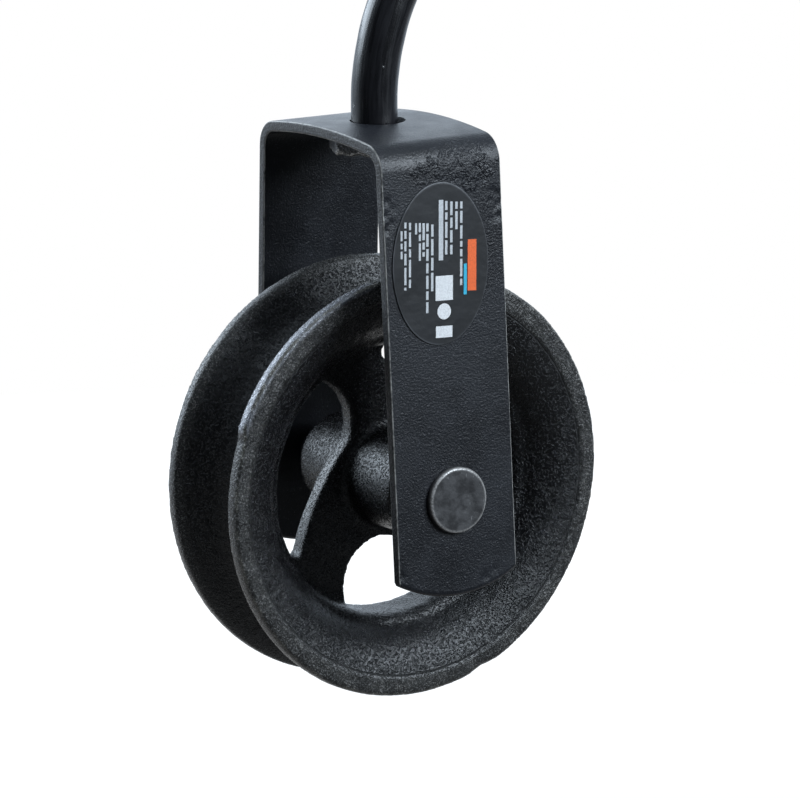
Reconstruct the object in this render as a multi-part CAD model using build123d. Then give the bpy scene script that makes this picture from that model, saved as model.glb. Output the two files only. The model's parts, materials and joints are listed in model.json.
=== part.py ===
# Gin wheel: a grooved cast wheel in a bent strap yoke that swivels on an open hook.
# Millimetres, +Z up. The origin is the hook seat, where the hook hangs on its bar.
# The wheel turns about Y and the labelled leg of the yoke faces -Y.
import os
from math import atan, cos, degrees, radians, sin, sqrt, tan

from build123d import *

# Wheel casting
wheel_radius = 50.0
wheel_width = 29.4
land_width = 3.2
land_round = 1.0
groove_depth = 12.5
groove_flare = 22.0
lip_width = 4.8
lip_step = 0.4
rim_wall = 2.5
rim_nose_reach = 3.0
rim_nose_half_width = 6.9
rim_inner_half_width = 3.4
dish_hollow = 0.6

# Web and its three openings: a share of the way from the hub to the rim, and an angle
# from the opening's middle line
web_thickness = 4.8
web_round = 0.9
opening_count = 3
opening_turn = 166.0
opening_root_share = 0.04
opening_root_angle = -24.5
opening_side_share = 0.562
opening_side_angle = -45.2
opening_shoulder_share = 0.973
opening_shoulder_angle = -38.4
opening_shoulder_exit_angle = -33.4
opening_waist_share = 0.316
opening_waist_angle = 22.0
opening_tip_share = 0.79
opening_tip_angle = 45.8
opening_tip_exit_angle = 38.0
opening_root_round = 3.0
opening_end_round = 1.6

# Hub
hub_length = 40.0
hub_end_radius = 11.2
hub_base_radius = 11.8
hub_fillet = 1.8
hub_round = 0.8

# The hub stands a little off the middle of the yoke, and the rim a little off the hub
wheel_shift = -0.8
rim_shift = 0.7

# Axle pin
pin_diameter = 10.0
pin_clearance = 0.05
pin_head_radius = 7.6
pin_head_height = 1.6
pin_head_round = 0.7
rivet_head_radius = 7.4
rivet_head_height = 2.4
rivet_head_round = 1.9

# Yoke strap
strap_width = 31.6
strap_thickness = 2.5
strap_edge_round = 0.35
leg_spread = 62.9
leg_splay = 0.059
yoke_height = 83.0
crown_radius = 165.0
bend_radius = 6.5
leg_corner_drop = 17.8
leg_end_radius = 31.0
hook_hole_diameter = 12.8

# Swivel hook, its shank a little to one side in the hole
rod_diameter = 10.8
shank_offset = -0.8
shank_rise = 3.4
sweep_radius = 57.6
loop_radius = 31.0
hook_end_angle = 190.0
hook_end_round = 3.0
head_corner_radius = 10.8
head_height = 4.0
head_seat_gap = 0.02
head_round = 0.5

# Oval label
label_width = 25.4
label_height = 36.8
label_thickness = 0.3
label_rise = 54.2
label_offset = -1.4
label_tilt = 3.0

# Derived radii of the wheel, from the outside in
groove_floor_radius = wheel_radius - groove_depth
rim_nose_radius = groove_floor_radius - rim_wall
rim_inner_radius = rim_nose_radius - rim_nose_reach
hub_foot_radius = hub_base_radius + hub_fillet

# Derived places, in heights above the axle
bend_start = yoke_height + shank_rise
sweep_side = sweep_radius + shank_offset
loop_rise = sqrt((sweep_radius + loop_radius) ** 2 - sweep_side ** 2)
swing_angle = degrees(atan(loop_rise / sweep_side))
loop_centre = bend_start + loop_rise
seat_height = loop_centre + loop_radius - rod_diameter / 2
splay_angle = degrees(atan(leg_splay))
axle = Pos(0, 0, -seat_height)


def polar(radius, angle):
    """A point in the wheel's own plane from a radius and an angle in degrees."""
    return (radius * cos(radians(angle)), radius * sin(radians(angle)))


def across_web(share, angle):
    """A point on the web, its share of the way counted from the hub's foot to the rim."""
    return polar(hub_foot_radius + share * (rim_inner_radius - hub_foot_radius), angle)


def leg_face(front):
    """Place on the outer face of a leg at axle height, its z pointing outwards."""
    side = -1 if front else 1
    tilt = radians(splay_angle)
    face = Plane(
        origin=(0, side * leg_spread / 2, 0),
        x_dir=(-side, 0, 0),
        z_dir=(0, side * cos(tilt), sin(tilt)),
    )
    return axle * face.location


# The wheel is drawn with its axis along z and its front face upwards, then turned.
def rim():
    """Rim ring: rope groove between two flanges, flat lips and hollow sides."""
    half_width = wheel_width / 2
    groove_half = half_width - land_width
    flare = radians(groove_flare)
    curve = (groove_half - groove_depth * tan(flare)) / (1 / cos(flare) - tan(flare))
    centre_radius = groove_floor_radius + curve
    foot = (centre_radius - curve * sin(flare), curve * cos(flare))
    half_way = radians(45 + groove_flare / 2)
    bottom = (centre_radius - curve * sin(half_way), curve * cos(half_way))
    lip_radius = wheel_radius - lip_width
    dish_start = (lip_radius, half_width - lip_step)
    dish_end = (rim_nose_radius, rim_nose_half_width)
    dish_middle = (
        (dish_start[0] + dish_end[0]) / 2 + dish_hollow * 0.5,
        (dish_start[1] + dish_end[1]) / 2 - dish_hollow,
    )
    nose_middle = (
        rim_inner_radius + rim_nose_reach * 0.28,
        rim_inner_half_width + (rim_nose_half_width - rim_inner_half_width) * 0.66,
    )
    with BuildPart() as ring:
        with BuildSketch(Plane.XZ) as section:
            with BuildLine():
                ThreePointArc((groove_floor_radius, 0), bottom, foot)
                Line(foot, (wheel_radius, groove_half))
                Line((wheel_radius, groove_half), (wheel_radius, half_width))
                Line((wheel_radius, half_width), (lip_radius, half_width))
                Line((lip_radius, half_width), dish_start)
                ThreePointArc(dish_start, dish_middle, dish_end)
                ThreePointArc(dish_end, nose_middle, (rim_inner_radius, rim_inner_half_width))
                Line((rim_inner_radius, rim_inner_half_width), (rim_inner_radius, 0))
                mirror(about=Plane.XZ)
            make_face()
            outer = section.vertices().filter_by(lambda v: v.X > wheel_radius - 0.01)
            fillet(outer, land_round)
        revolve(axis=Axis.Z)
    return ring.part


def web():
    """Flat web left as three arms between the hub and the rim."""
    reach = rim_inner_radius + 6
    edge = rim_inner_radius + 1
    with BuildSketch() as opening:
        with BuildLine():
            shoulder = across_web(opening_shoulder_share, opening_shoulder_angle)
            side = across_web(opening_side_share, opening_side_angle)
            root = across_web(opening_root_share, opening_root_angle)
            waist = across_web(opening_waist_share, opening_waist_angle)
            tip = across_web(opening_tip_share, opening_tip_angle)
            ThreePointArc(shoulder, side, root)
            ThreePointArc(root, waist, tip)
            Polyline(
                tip,
                polar(reach, opening_tip_exit_angle),
                polar(reach * 1.15, 0),
                polar(reach, opening_shoulder_exit_angle),
                shoulder,
            )
        make_face()
        fillet(opening.vertices().sort_by_distance(root)[0], opening_root_round)
        for end in (shoulder, tip):
            fillet(opening.vertices().sort_by_distance(end)[0], opening_end_round)
    with BuildPart() as arms:
        with BuildSketch(Plane.XY.offset(-web_thickness / 2)):
            Circle(edge)
            for index in range(opening_count):
                turn = opening_turn + index * 360 / opening_count
                add(opening.sketch, rotation=turn, mode=Mode.SUBTRACT)
        extrude(amount=web_thickness)
        rims = arms.edges().filter_by(lambda e: abs(abs(e.center().Z) - web_thickness / 2) < 0.01)
        inner = rims.filter_by(lambda e: (e @ 0.5).X ** 2 + (e @ 0.5).Y ** 2 < (edge - 0.2) ** 2)
        fillet(inner, web_round)
    return arms.part


def hub():
    """Tapered hub with a small fillet where each side runs into the web."""
    half = hub_length / 2
    face = web_thickness / 2
    with BuildPart() as boss:
        with BuildSketch(Plane.XZ) as section:
            with BuildLine():
                corner = (hub_base_radius, face + hub_fillet)
                arc_end = (hub_foot_radius, face)
                arc_middle = (
                    hub_base_radius + hub_fillet * (1 - cos(radians(45))),
                    face + hub_fillet * (1 - sin(radians(45))),
                )
                Polyline((0, 0), (0, half), (hub_end_radius, half), corner)
                ThreePointArc(corner, arc_middle, arc_end)
                Line(arc_end, (hub_foot_radius, 0))
                mirror(about=Plane.XZ)
            make_face()
            ends = section.vertices().filter_by(lambda v: abs(v.Y) > half - 0.01 and v.X > 1)
            fillet(ends, hub_round)
        revolve(axis=Axis.Z)
    return boss.part


def wheel():
    """One casting with a plain bore that runs on the pin."""
    casting = Pos(0, 0, rim_shift) * rim() + web() + hub()
    bore = Cylinder(pin_diameter / 2 + pin_clearance, hub_length + 2)
    return axle * Pos(0, wheel_shift, 0) * Rot(90, 0, 0) * (casting - bore)


def yoke_section(inset):
    """Filled outline of the yoke seen along X, moved inwards by the inset."""
    top_radius = crown_radius - inset
    foot = -leg_corner_drop - 15
    half = leg_spread / 2 - inset / cos(radians(splay_angle))
    with BuildSketch(Plane.YZ) as outline:
        with BuildLine():
            head = yoke_height + 5
            foot_half = half - leg_splay * foot
            head_half = half - leg_splay * head
            Polyline(
                (-foot_half, foot),
                (foot_half, foot),
                (head_half, head),
                (-head_half, head),
                close=True,
            )
        make_face()
        with Locations((0, yoke_height - crown_radius)):
            Circle(top_radius, mode=Mode.INTERSECT)
        shoulders = outline.vertices().group_by(Axis.Y)[-1]
        fillet(shoulders, bend_radius - inset)
    return outline.sketch


def yoke():
    """One folded strap: crowned top with the hook hole, splayed legs with curved ends."""
    folded = extrude(yoke_section(0) - yoke_section(strap_thickness), strap_width, dir=(1, 0, 0))
    with BuildPart() as strap:
        add(Pos(-strap_width / 2, 0, 0) * folded)
        with BuildSketch(Plane.XZ.offset(-leg_spread)):
            drop = leg_end_radius - sqrt(leg_end_radius ** 2 - strap_width ** 2 / 4)
            lowest = -leg_corner_drop - drop
            with BuildLine():
                left = (-strap_width / 2, -leg_corner_drop)
                right = (strap_width / 2, -leg_corner_drop)
                ThreePointArc(left, (0, lowest), right)
                Polyline(
                    right,
                    (strap_width / 2, yoke_height + 2),
                    (-strap_width / 2, yoke_height + 2),
                    left,
                )
            make_face()
        extrude(amount=2 * leg_spread, mode=Mode.INTERSECT)
        rims = strap.edges().filter_by(lambda e: abs(abs(e.center().X) - strap_width / 2) < 0.01)
        fillet(rims, strap_edge_round)
        with Locations((0, 0, yoke_height)):
            Cylinder(hook_hole_diameter / 2, 6 * strap_thickness, mode=Mode.SUBTRACT)
        pin_hole = pin_diameter / 2 + pin_clearance
        Cylinder(pin_hole, leg_spread * 1.5, rotation=(90, 0, 0), mode=Mode.SUBTRACT)
    return axle * strap.part


def axle_pin():
    """Headed pin through both legs, its far end riveted over."""
    reach = leg_spread + pin_head_height * 0.8
    shank = Rot(90, 0, 0) * Cylinder(pin_diameter / 2, reach)
    head = extrude(Circle(pin_head_radius), pin_head_height)
    head = fillet(head.edges().group_by(Axis.Z)[-1], pin_head_round)
    rivet = extrude(Circle(rivet_head_radius), rivet_head_height)
    rivet = fillet(rivet.edges().group_by(Axis.Z)[-1], rivet_head_round)
    return axle * shank + leg_face(True) * head + leg_face(False) * rivet


def hook_head(top):
    """Hammered head under the yoke, with flats of different widths."""
    corners = [24, 80, 137, 182, 234, 285, 334]
    outline = Polyline([polar(head_corner_radius, angle) for angle in corners], close=True)
    blank = extrude(make_face(outline), -head_height)
    blank = fillet(blank.edges().group_by(Axis.Z)[0], head_round)
    return Pos(shank_offset, 0, top) * blank


def swivel_hook():
    """Round rod: head, straight shank, sweep to one side and an open loop."""
    crown_inner = crown_radius - strap_thickness
    sag = crown_inner - sqrt(crown_inner ** 2 - head_corner_radius ** 2)
    head_top = yoke_height - strap_thickness - sag - head_seat_gap
    with BuildPart() as rod:
        with BuildLine(Plane.XZ) as path:
            shank_end = (shank_offset, bend_start)
            shank = Line((shank_offset, head_top - head_height / 2), shank_end)
            sweep_centre = (sweep_side, bend_start)
            half_swing = radians(180 - swing_angle / 2)
            full_swing = radians(180 - swing_angle)
            sweep_middle = (
                sweep_centre[0] + sweep_radius * cos(half_swing),
                sweep_centre[1] + sweep_radius * sin(half_swing),
            )
            sweep_end = (
                sweep_centre[0] + sweep_radius * cos(full_swing),
                sweep_centre[1] + sweep_radius * sin(full_swing),
            )
            ThreePointArc(shank @ 1, sweep_middle, sweep_end)
            loop_middle = radians((hook_end_angle - swing_angle) / 2)
            loop_end = radians(hook_end_angle)
            ThreePointArc(
                sweep_end,
                (loop_radius * cos(loop_middle), loop_centre + loop_radius * sin(loop_middle)),
                (loop_radius * cos(loop_end), loop_centre + loop_radius * sin(loop_end)),
            )
        with BuildSketch(Plane.XY.offset(head_top - head_height / 2)):
            with Locations((shank_offset, 0)):
                Circle(rod_diameter / 2)
        sweep(path=path.line)
        tip = rod.edges().sort_by(Axis.X)[0]
        fillet(tip, hook_end_round)
    return axle * (rod.part + hook_head(head_top))


def oval_label():
    """Thin oval label on the outer face of the front leg."""
    patch = extrude(Ellipse(label_width / 2, label_height / 2), label_thickness)
    return leg_face(True) * Pos(label_offset, label_rise, 0) * Rot(0, 0, -label_tilt) * patch


parts = {
    "wheel": wheel(),
    "yoke": yoke(),
    "axle_pin": axle_pin(),
    "swivel_hook": swivel_hook(),
    "oval_label": oval_label(),
}
os.makedirs("parts", exist_ok=True)
for name, shape in parts.items():
    box = shape.bounding_box()
    print(name, "volume", round(shape.volume), "low", box.min, "high", box.max)
    export_step(shape, "parts/" + name + ".step")
print("seat above axle", round(seat_height, 2), "swing", round(swing_angle, 2))
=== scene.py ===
# %% [markdown]
# Gin wheel: a sand-cast rope wheel that runs on a pin in a folded steel strap, hung from a
# swivelling hook. The CAD model gives every solid its size and place, and this lesson gives
# each one the surface that the real one has: pebbled cast iron under black paint, a satin
# painted strap with bruised edges, a half-gloss rod and a plain printed label. Each code cell
# is short and prints what it made, so the file can be run a cell at a time.

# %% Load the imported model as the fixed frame
import json
import math

import bmesh
import bpy
import numpy as np
from mathutils import Matrix, Vector, noise


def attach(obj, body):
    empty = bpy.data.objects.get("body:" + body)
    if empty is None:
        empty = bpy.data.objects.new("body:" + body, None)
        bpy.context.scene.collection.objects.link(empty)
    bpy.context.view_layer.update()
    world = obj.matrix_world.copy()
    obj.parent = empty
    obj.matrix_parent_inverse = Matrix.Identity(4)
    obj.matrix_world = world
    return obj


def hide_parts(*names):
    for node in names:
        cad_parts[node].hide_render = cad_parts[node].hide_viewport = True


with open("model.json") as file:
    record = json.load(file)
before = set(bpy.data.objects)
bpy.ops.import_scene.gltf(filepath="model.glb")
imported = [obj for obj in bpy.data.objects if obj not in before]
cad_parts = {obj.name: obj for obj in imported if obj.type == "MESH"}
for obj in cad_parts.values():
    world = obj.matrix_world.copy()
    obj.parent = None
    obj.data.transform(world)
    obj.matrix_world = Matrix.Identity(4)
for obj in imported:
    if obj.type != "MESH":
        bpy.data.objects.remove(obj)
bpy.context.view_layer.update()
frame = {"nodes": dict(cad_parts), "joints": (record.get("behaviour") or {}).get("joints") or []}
print("CAD nodes:", sorted(frame["nodes"]))

# %% [markdown]
# The frame says where the wheel turns. Everything else is measured from that axle, as a
# maker would mark it out. Sizes that the frame can't give, such as the strap's bend, are
# repeated here from the CAD source, in millimetres, and turned into metres where used.

# %% Mark out the axle and the sizes that the pieces share
MM = 0.001
spin = next(joint for joint in frame["joints"] if joint["name"] == "wheel_spin")
axle_height = Vector(spin["pos_m"]).z
AXLE = np.array((0, 0, axle_height))
LEG_HALF_SPREAD = 31.45
LEG_SPLAY = 0.059
YOKE_HEIGHT = 83.0
print("axle height", round(axle_height, 5), "m")

# %% [markdown]
# The camera stands where the photograph was taken from: in front of the labelled leg, to its
# left and a little above. A long lens far away keeps the strap's legs nearly parallel. The
# turn, height and roll angles are the ones that lay the flanges and the legs over the photograph.

# %% Place the camera
CAMERA_TURN = math.radians(-31.857)
CAMERA_RISE = math.radians(12.597)
CAMERA_ROLL = math.radians(0.74)
CAMERA_FROM_AXLE = Vector((-0.49515, -0.80590, 0.23074))
CAMERA_LENS = 187.95
CAMERA_SHIFT = (-0.00251, -0.01096)
NEAREST_SEEN = 0.05

backward = Vector((
    math.sin(CAMERA_TURN) * math.cos(CAMERA_RISE),
    -math.cos(CAMERA_TURN) * math.cos(CAMERA_RISE),
    math.sin(CAMERA_RISE),
))
rightward = Vector((math.cos(CAMERA_TURN), math.sin(CAMERA_TURN), 0))
upward = backward.cross(rightward)
level = Matrix((rightward, upward, backward)).transposed().to_4x4()

camera_data = bpy.data.cameras.new("photo_camera")
camera_data.lens = CAMERA_LENS
camera_data.shift_x, camera_data.shift_y = CAMERA_SHIFT
camera_data.clip_start = NEAREST_SEEN
camera = bpy.data.objects.new("photo_camera", camera_data)
bpy.context.scene.collection.objects.link(camera)
camera_place = CAMERA_FROM_AXLE + Vector((0, 0, axle_height))
camera.matrix_world = Matrix.Translation(camera_place) @ level @ Matrix.Rotation(-CAMERA_ROLL, 4, "Z")
bpy.context.scene.camera = camera
print("camera at", [round(value, 4) for value in camera.location])

# %% [markdown]
# Node trees for finishes and for shapes are built with the same few moves: add a node, fill
# its inputs, join it to the next. A few small helpers keep those moves short, so that a
# finish reads as a recipe. A value that is a socket is joined, and any other is typed in. Noise
# lies mostly between 0.3 and 0.7, so the first two numbers of a grade say between which values
# of the noise a layer comes in: close together they give a hard border, far apart a soft one.

# %% Helpers for building node trees
def add(tree, kind, inputs=None, **settings):
    """Add a node, choose its settings, and fill or join its inputs."""
    node = tree.nodes.new(kind)
    for name, value in settings.items():
        setattr(node, name, value)
    for name, value in (inputs or {}).items():
        if isinstance(value, bpy.types.NodeSocket):
            tree.links.new(value, node.inputs[name])
        else:
            node.inputs[name].default_value = value
    return node


def reckon(tree, operation, *values):
    """A sum on numbers: returns the socket that holds its result."""
    return add(tree, "ShaderNodeMath", dict(enumerate(values)), operation=operation).outputs[0]


def grade(tree, value, low, high, to_low=0.0, to_high=1.0):
    """Turn a value between low and high smoothly into one between two others."""
    inputs = {"Value": value, "From Min": low, "From Max": high, "To Min": to_low, "To Max": to_high}
    return add(tree, "ShaderNodeMapRange", inputs, interpolation_type="SMOOTHSTEP").outputs["Result"]


def mottle(tree, place, size, detail, roughness):
    """Noise with patches of about the given size in metres, from 0 to 1."""
    inputs = {"Vector": place, "Scale": 1 / size, "Detail": detail, "Roughness": roughness}
    return add(tree, "ShaderNodeTexNoise", inputs).outputs[0]


def blend(tree, share, first, second):
    """Mix two colours by a share from 0 to 1."""
    inputs = {0: share, 6: first, 7: second}
    return add(tree, "ShaderNodeMix", inputs, data_type="RGBA").outputs[2]


def tell_nodes(name, tree):
    """Print how large a node tree is."""
    print(name, "has", len(tree.nodes), "nodes")


print("node helpers are ready: add, reckon, grade, mottle, blend")

# %% [markdown]
# Every finish starts from the same four things: a material, its tree, the surface shader and
# the place on the object. A pattern could also be a picture laid over the mesh, but noise on
# Object coordinates needs no unwrapping and stays fixed to the piece when it moves. Relief too
# fine for the mesh is added at the end as bump, one layer on another.

# %% Helpers for finishes
def start_finish(name):
    """An empty finish: its material, node tree, surface shader and place on the object."""
    material = bpy.data.materials.new(name)
    material.use_nodes = True
    tree = material.node_tree
    tree.nodes.clear()
    shader = add(tree, "ShaderNodeBsdfPrincipled")
    add(tree, "ShaderNodeOutputMaterial", {"Surface": shader.outputs[0]})
    place = add(tree, "ShaderNodeTexCoord").outputs["Object"]
    return material, tree, shader, place


def marked(tree, name):
    """Read a number that a mesh carries at its points."""
    return add(tree, "ShaderNodeAttribute", attribute_name=name).outputs["Fac"]


def relief(tree, shader, *layers):
    """Give a finish fine relief, from pairs of a height and its depth in metres."""
    normal = None
    for height, depth in layers:
        inputs = {"Height": height, "Distance": depth, "Strength": 1.0}
        if normal is not None:
            inputs["Normal"] = normal
        normal = add(tree, "ShaderNodeBump", inputs).outputs[0]
    tree.links.new(normal, shader.inputs["Normal"])


print("finish helpers are ready: start_finish, marked, relief")

# %% [markdown]
# The object was lit for a cut-out on white, and its long highlights show that it reflects a
# bright wall behind it and a dark room in front. A picture of a studio could surround it, but a
# plain rule is enough: the room is white to the camera, in gloss it is a cool white behind the
# object and falls off towards the dark front, and matt surfaces get one low even level.

# %% The room round the object
ROOM_LEVEL = 0.04
MATT_TINT = (0.94, 0.97, 1, 1)
GLOSS_TINT = (0.74, 0.86, 1.0, 1)
BRIGHT_END = (0.2, 0.95, 0.2)
DARK_LEVEL = 0.05
FALL_START, FALL_END = 0.5, -0.1
WHITE = (1, 1, 1, 1)


def background_rays(tree):
    """One for rays that see the backdrop directly, in gloss or through glass, else zero."""
    path = add(tree, "ShaderNodeLightPath")
    seen = reckon(tree, "MAXIMUM", path.outputs["Is Camera Ray"], path.outputs["Is Glossy Ray"])
    return reckon(tree, "MAXIMUM", seen, path.outputs["Is Transmission Ray"])


def make_room():
    """White to the camera, cool white with a dark end in gloss, an even level for all else."""
    world = bpy.data.worlds.new("studio_room")
    world.use_nodes = True
    tree = world.node_tree
    tree.nodes.clear()
    heading = add(tree, "ShaderNodeTexCoord").outputs["Generated"]
    facing = add(tree, "ShaderNodeVectorMath", {0: heading, 1: BRIGHT_END}, operation="DOT_PRODUCT")
    gloss = grade(tree, facing.outputs["Value"], FALL_END, FALL_START, DARK_LEVEL, 1.0)
    direct = add(tree, "ShaderNodeLightPath").outputs["Is Camera Ray"]
    seen = reckon(tree, "MAXIMUM", gloss, direct)
    colour = blend(tree, direct, GLOSS_TINT, WHITE)
    soft = add(tree, "ShaderNodeBackground", {"Color": MATT_TINT, "Strength": ROOM_LEVEL}).outputs[0]
    white = add(tree, "ShaderNodeBackground", {"Color": colour, "Strength": seen}).outputs[0]
    both = add(tree, "ShaderNodeMixShader", {0: background_rays(tree), 1: soft, 2: white})
    add(tree, "ShaderNodeOutputWorld", {"Surface": both.outputs[0]})
    bpy.context.scene.world = world
    tell_nodes(world.name, tree)


bpy.context.scene.view_settings.view_transform = "Standard"
make_room()

# %% [markdown]
# The wheel hangs well above a pale floor, on which only a faint shadow could show. A plain white
# floor would send light up into the hollows of the casting and wash them out. So this one is
# pale to the camera alone and dark to light that bounces, it glows a little so that it meets
# the white room without an edge, and in gloss it darkens towards the front as the room does.

# %% The floor
FLOOR_HEIGHT = -0.38
FLOOR_RADIUS = 1.0
FLOOR_BOUNCE = (0.08, 0.08, 0.08, 1)
FLOOR_SEEN = (0.355, 0.355, 0.355, 1)
FLOOR_GLOSS = 0.1
FLOOR_ROUGHNESS = 0.9
# each glow: from and to this place in metres, from and to this strength
GLOW_BY_DEPTH = (-0.3, 0.4, 0.03, 0.7)
GLOW_BY_RADIUS = (0.4, 0.9, 0.6, 0.9)


def floor_finish():
    """Pale to the camera, dark to bounced light, fading out into the white room."""
    material, tree, shader, place = start_finish("pale_floor")
    direct = add(tree, "ShaderNodeLightPath").outputs["Is Camera Ray"]
    tree.links.new(blend(tree, direct, FLOOR_BOUNCE, FLOOR_SEEN), shader.inputs["Base Color"])
    shader.inputs["Specular IOR Level"].default_value = FLOOR_GLOSS
    shader.inputs["Roughness"].default_value = FLOOR_ROUGHNESS
    shader.inputs["Emission Color"].default_value = WHITE
    radius = add(tree, "ShaderNodeVectorMath", {0: place}, operation="LENGTH").outputs["Value"]
    depth = add(tree, "ShaderNodeSeparateXYZ", {0: place}).outputs[1]
    in_gloss = reckon(tree, "MULTIPLY", background_rays(tree), grade(tree, depth, *GLOW_BY_DEPTH))
    seen = reckon(tree, "MULTIPLY", direct, grade(tree, radius, *GLOW_BY_RADIUS))
    tree.links.new(reckon(tree, "MAXIMUM", in_gloss, seen), shader.inputs["Emission Strength"])
    return material


def make_floor():
    """A disc below the object that keeps its shadow."""
    mesh = bpy.data.meshes.new("floor")
    disc = bmesh.new()
    bmesh.ops.create_circle(disc, cap_ends=True, segments=128, radius=FLOOR_RADIUS,
                            matrix=Matrix.Translation((0, 0, FLOOR_HEIGHT)))
    disc.to_mesh(mesh)
    disc.free()
    mesh.materials.append(floor_finish())
    floor = bpy.data.objects.new("floor", mesh)
    bpy.context.scene.collection.objects.link(floor)
    print("the floor lies at", FLOOR_HEIGHT, "m")


make_floor()

# %% [markdown]
# Four soft boxes stand round the wheel. A wide one behind it to the left draws the long
# highlights on the rims and the top of the strap. The key light, the strongest, stands at the
# right front and shows the labelled leg and the lower lips. A smaller one above the front
# lightens what faces up, and a weak one behind to the right parts the right rim from black.
# Area lamps are used, because small lamps would leave hard points of light in the gloss.

# %% The lamps
COOL = (0.78, 0.89, 1)
LAMP_TARGET = Vector((0, 0, -0.16))
LAMPS = [
    # name, direction from the object, distance, width, height, brightness, colour
    ("back_box", (-0.46, 0.80, 0.40), 0.9, 0.8, 0.4, 9.0, COOL),
    ("rim_box", (0.52, 0.80, 0.36), 0.9, 0.6, 0.4, 1.2, COOL),
    ("key_box", (0.45, -0.74, 0.46), 1.4, 0.66, 0.66, 19.0, (0.81, 0.905, 1)),
    ("top_box", (-0.10, -0.35, 0.93), 0.8, 0.7, 0.35, 3.0, COOL),
]


def make_lamp(name, toward, distance, width, height, brightness, tint):
    """A soft box that looks at the middle of the object, as bright as it would look."""
    data = bpy.data.lights.new(name, "AREA")
    data.shape = "RECTANGLE"
    data.size = width
    data.size_y = height
    data.energy = brightness * math.pi * width * height
    data.color = tint
    lamp = bpy.data.objects.new(name, data)
    bpy.context.scene.collection.objects.link(lamp)
    lamp.location = LAMP_TARGET + Vector(toward).normalized() * distance
    lamp.rotation_euler = (-Vector(toward)).to_track_quat("-Z", "Y").to_euler()
    lamp.visible_camera = False
    print("lamp", name, "gives", round(data.energy, 2), "W")


for lamp_sizes in LAMPS:
    make_lamp(*lamp_sizes)

# %% [markdown]
# A mesh is a list of points and a list of faces that join them. It can also carry a number at
# each point, such as how much the paint is worn there. That is the simplest way to tell a finish
# about a place on a shape that no noise knows of, for instance its own edges.

# %% Helpers for meshes
def new_piece(name, mesh):
    """An object at the origin, its place held by its mesh."""
    piece = bpy.data.objects.new(name, mesh)
    bpy.context.scene.collection.objects.link(piece)
    return piece


def mesh_from(name, points, faces):
    """A smooth-shaded mesh from points in metres, its faces turned outwards."""
    mesh = bpy.data.meshes.new(name)
    mesh.from_pydata([tuple(point) for point in points], [], faces)
    mesh.validate()
    tidy = bmesh.new()
    tidy.from_mesh(mesh)
    bmesh.ops.recalc_face_normals(tidy, faces=tidy.faces)
    tidy.to_mesh(mesh)
    tidy.free()
    mesh.shade_smooth()
    return mesh


def mark(mesh, name, values):
    """Let a mesh carry a number at each of its points, for its finish to read."""
    data = np.ascontiguousarray(values, dtype=np.float32)
    mesh.attributes.new(name, "FLOAT", "POINT").data.foreach_set("value", data)


def tell_triangles(piece):
    """Print how many triangles the faces of a piece make."""
    print(piece.name, "has", sum(len(face.vertices) - 2 for face in piece.data.polygons), "triangles")


print("mesh helpers are ready: new_piece, mesh_from, mark")

# %% [markdown]
# What repeats or follows a surface is made by a Geometry Nodes tree, which keeps its sizes as
# named inputs. The helpers here start such a tree, read and store numbers on points, move
# points along their normals, and end the tree by realizing its copies and giving them their
# finish, because only real mesh can be exported.

# %% Helpers for shape trees
def start_shape_tree(name, sizes):
    """A Geometry Nodes tree with a geometry input, named sizes and a material input."""
    tree = bpy.data.node_groups.new(name, "GeometryNodeTree")
    sockets = tree.interface
    sockets.new_socket("Geometry", in_out="INPUT", socket_type="NodeSocketGeometry")
    for title, value in sizes.items():
        sockets.new_socket(title, in_out="INPUT", socket_type="NodeSocketFloat").default_value = value
    sockets.new_socket("Finish", in_out="INPUT", socket_type="NodeSocketMaterial")
    sockets.new_socket("Geometry", in_out="OUTPUT", socket_type="NodeSocketGeometry")
    return tree, add(tree, "NodeGroupInput").outputs


def carried(tree, name):
    """Read a number that the points carry."""
    return add(tree, "GeometryNodeInputNamedAttribute", {"Name": name}, data_type="FLOAT").outputs[0]


def stored(tree, geometry, name, value):
    """Keep a number at the points of a geometry under a name."""
    inputs = {"Geometry": geometry, "Name": name, "Value": value}
    settings = {"data_type": "FLOAT", "domain": "POINT"}
    return add(tree, "GeometryNodeStoreNamedAttribute", inputs, **settings).outputs[0]


def lumps(tree, size, detail):
    """Noise on the points with lumps of the given size, as it is and as -1 to 1."""
    place = add(tree, "GeometryNodeInputPosition").outputs[0]
    scale = reckon(tree, "DIVIDE", 1.0, size)
    raw = add(tree, "ShaderNodeTexNoise", {"Vector": place, "Scale": scale, "Detail": detail}).outputs[0]
    return raw, grade(tree, raw, 0.25, 0.75, -1.0, 1.0)


def pushed_out(tree, geometry, distance):
    """Move each point along its normal."""
    normal = add(tree, "GeometryNodeInputNormal").outputs[0]
    shift = add(tree, "ShaderNodeVectorMath", {0: normal, "Scale": distance}, operation="SCALE").outputs[0]
    return add(tree, "GeometryNodeSetPosition", {"Geometry": geometry, "Offset": shift}).outputs[0]


def end_shape_tree(tree, geometry, given):
    """Realize what was placed, give it its finish and send it out."""
    real = add(tree, "GeometryNodeRealizeInstances", {0: geometry}).outputs[0]
    done = add(tree, "GeometryNodeSetMaterial", {"Geometry": real, "Material": given["Finish"]})
    add(tree, "NodeGroupOutput", {0: done.outputs[0]})
    tell_nodes(tree.name, tree)


print("shape tree helpers are ready: start_shape_tree, carried, stored, lumps, pushed_out, end_shape_tree")

# %% [markdown]
# A modifier only shows its result. To keep that result as a plain mesh, the object is evaluated
# and a new mesh is taken from it. A Geometry Nodes modifier is told its inputs by their
# identifiers, since two inputs may share a name.

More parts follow.
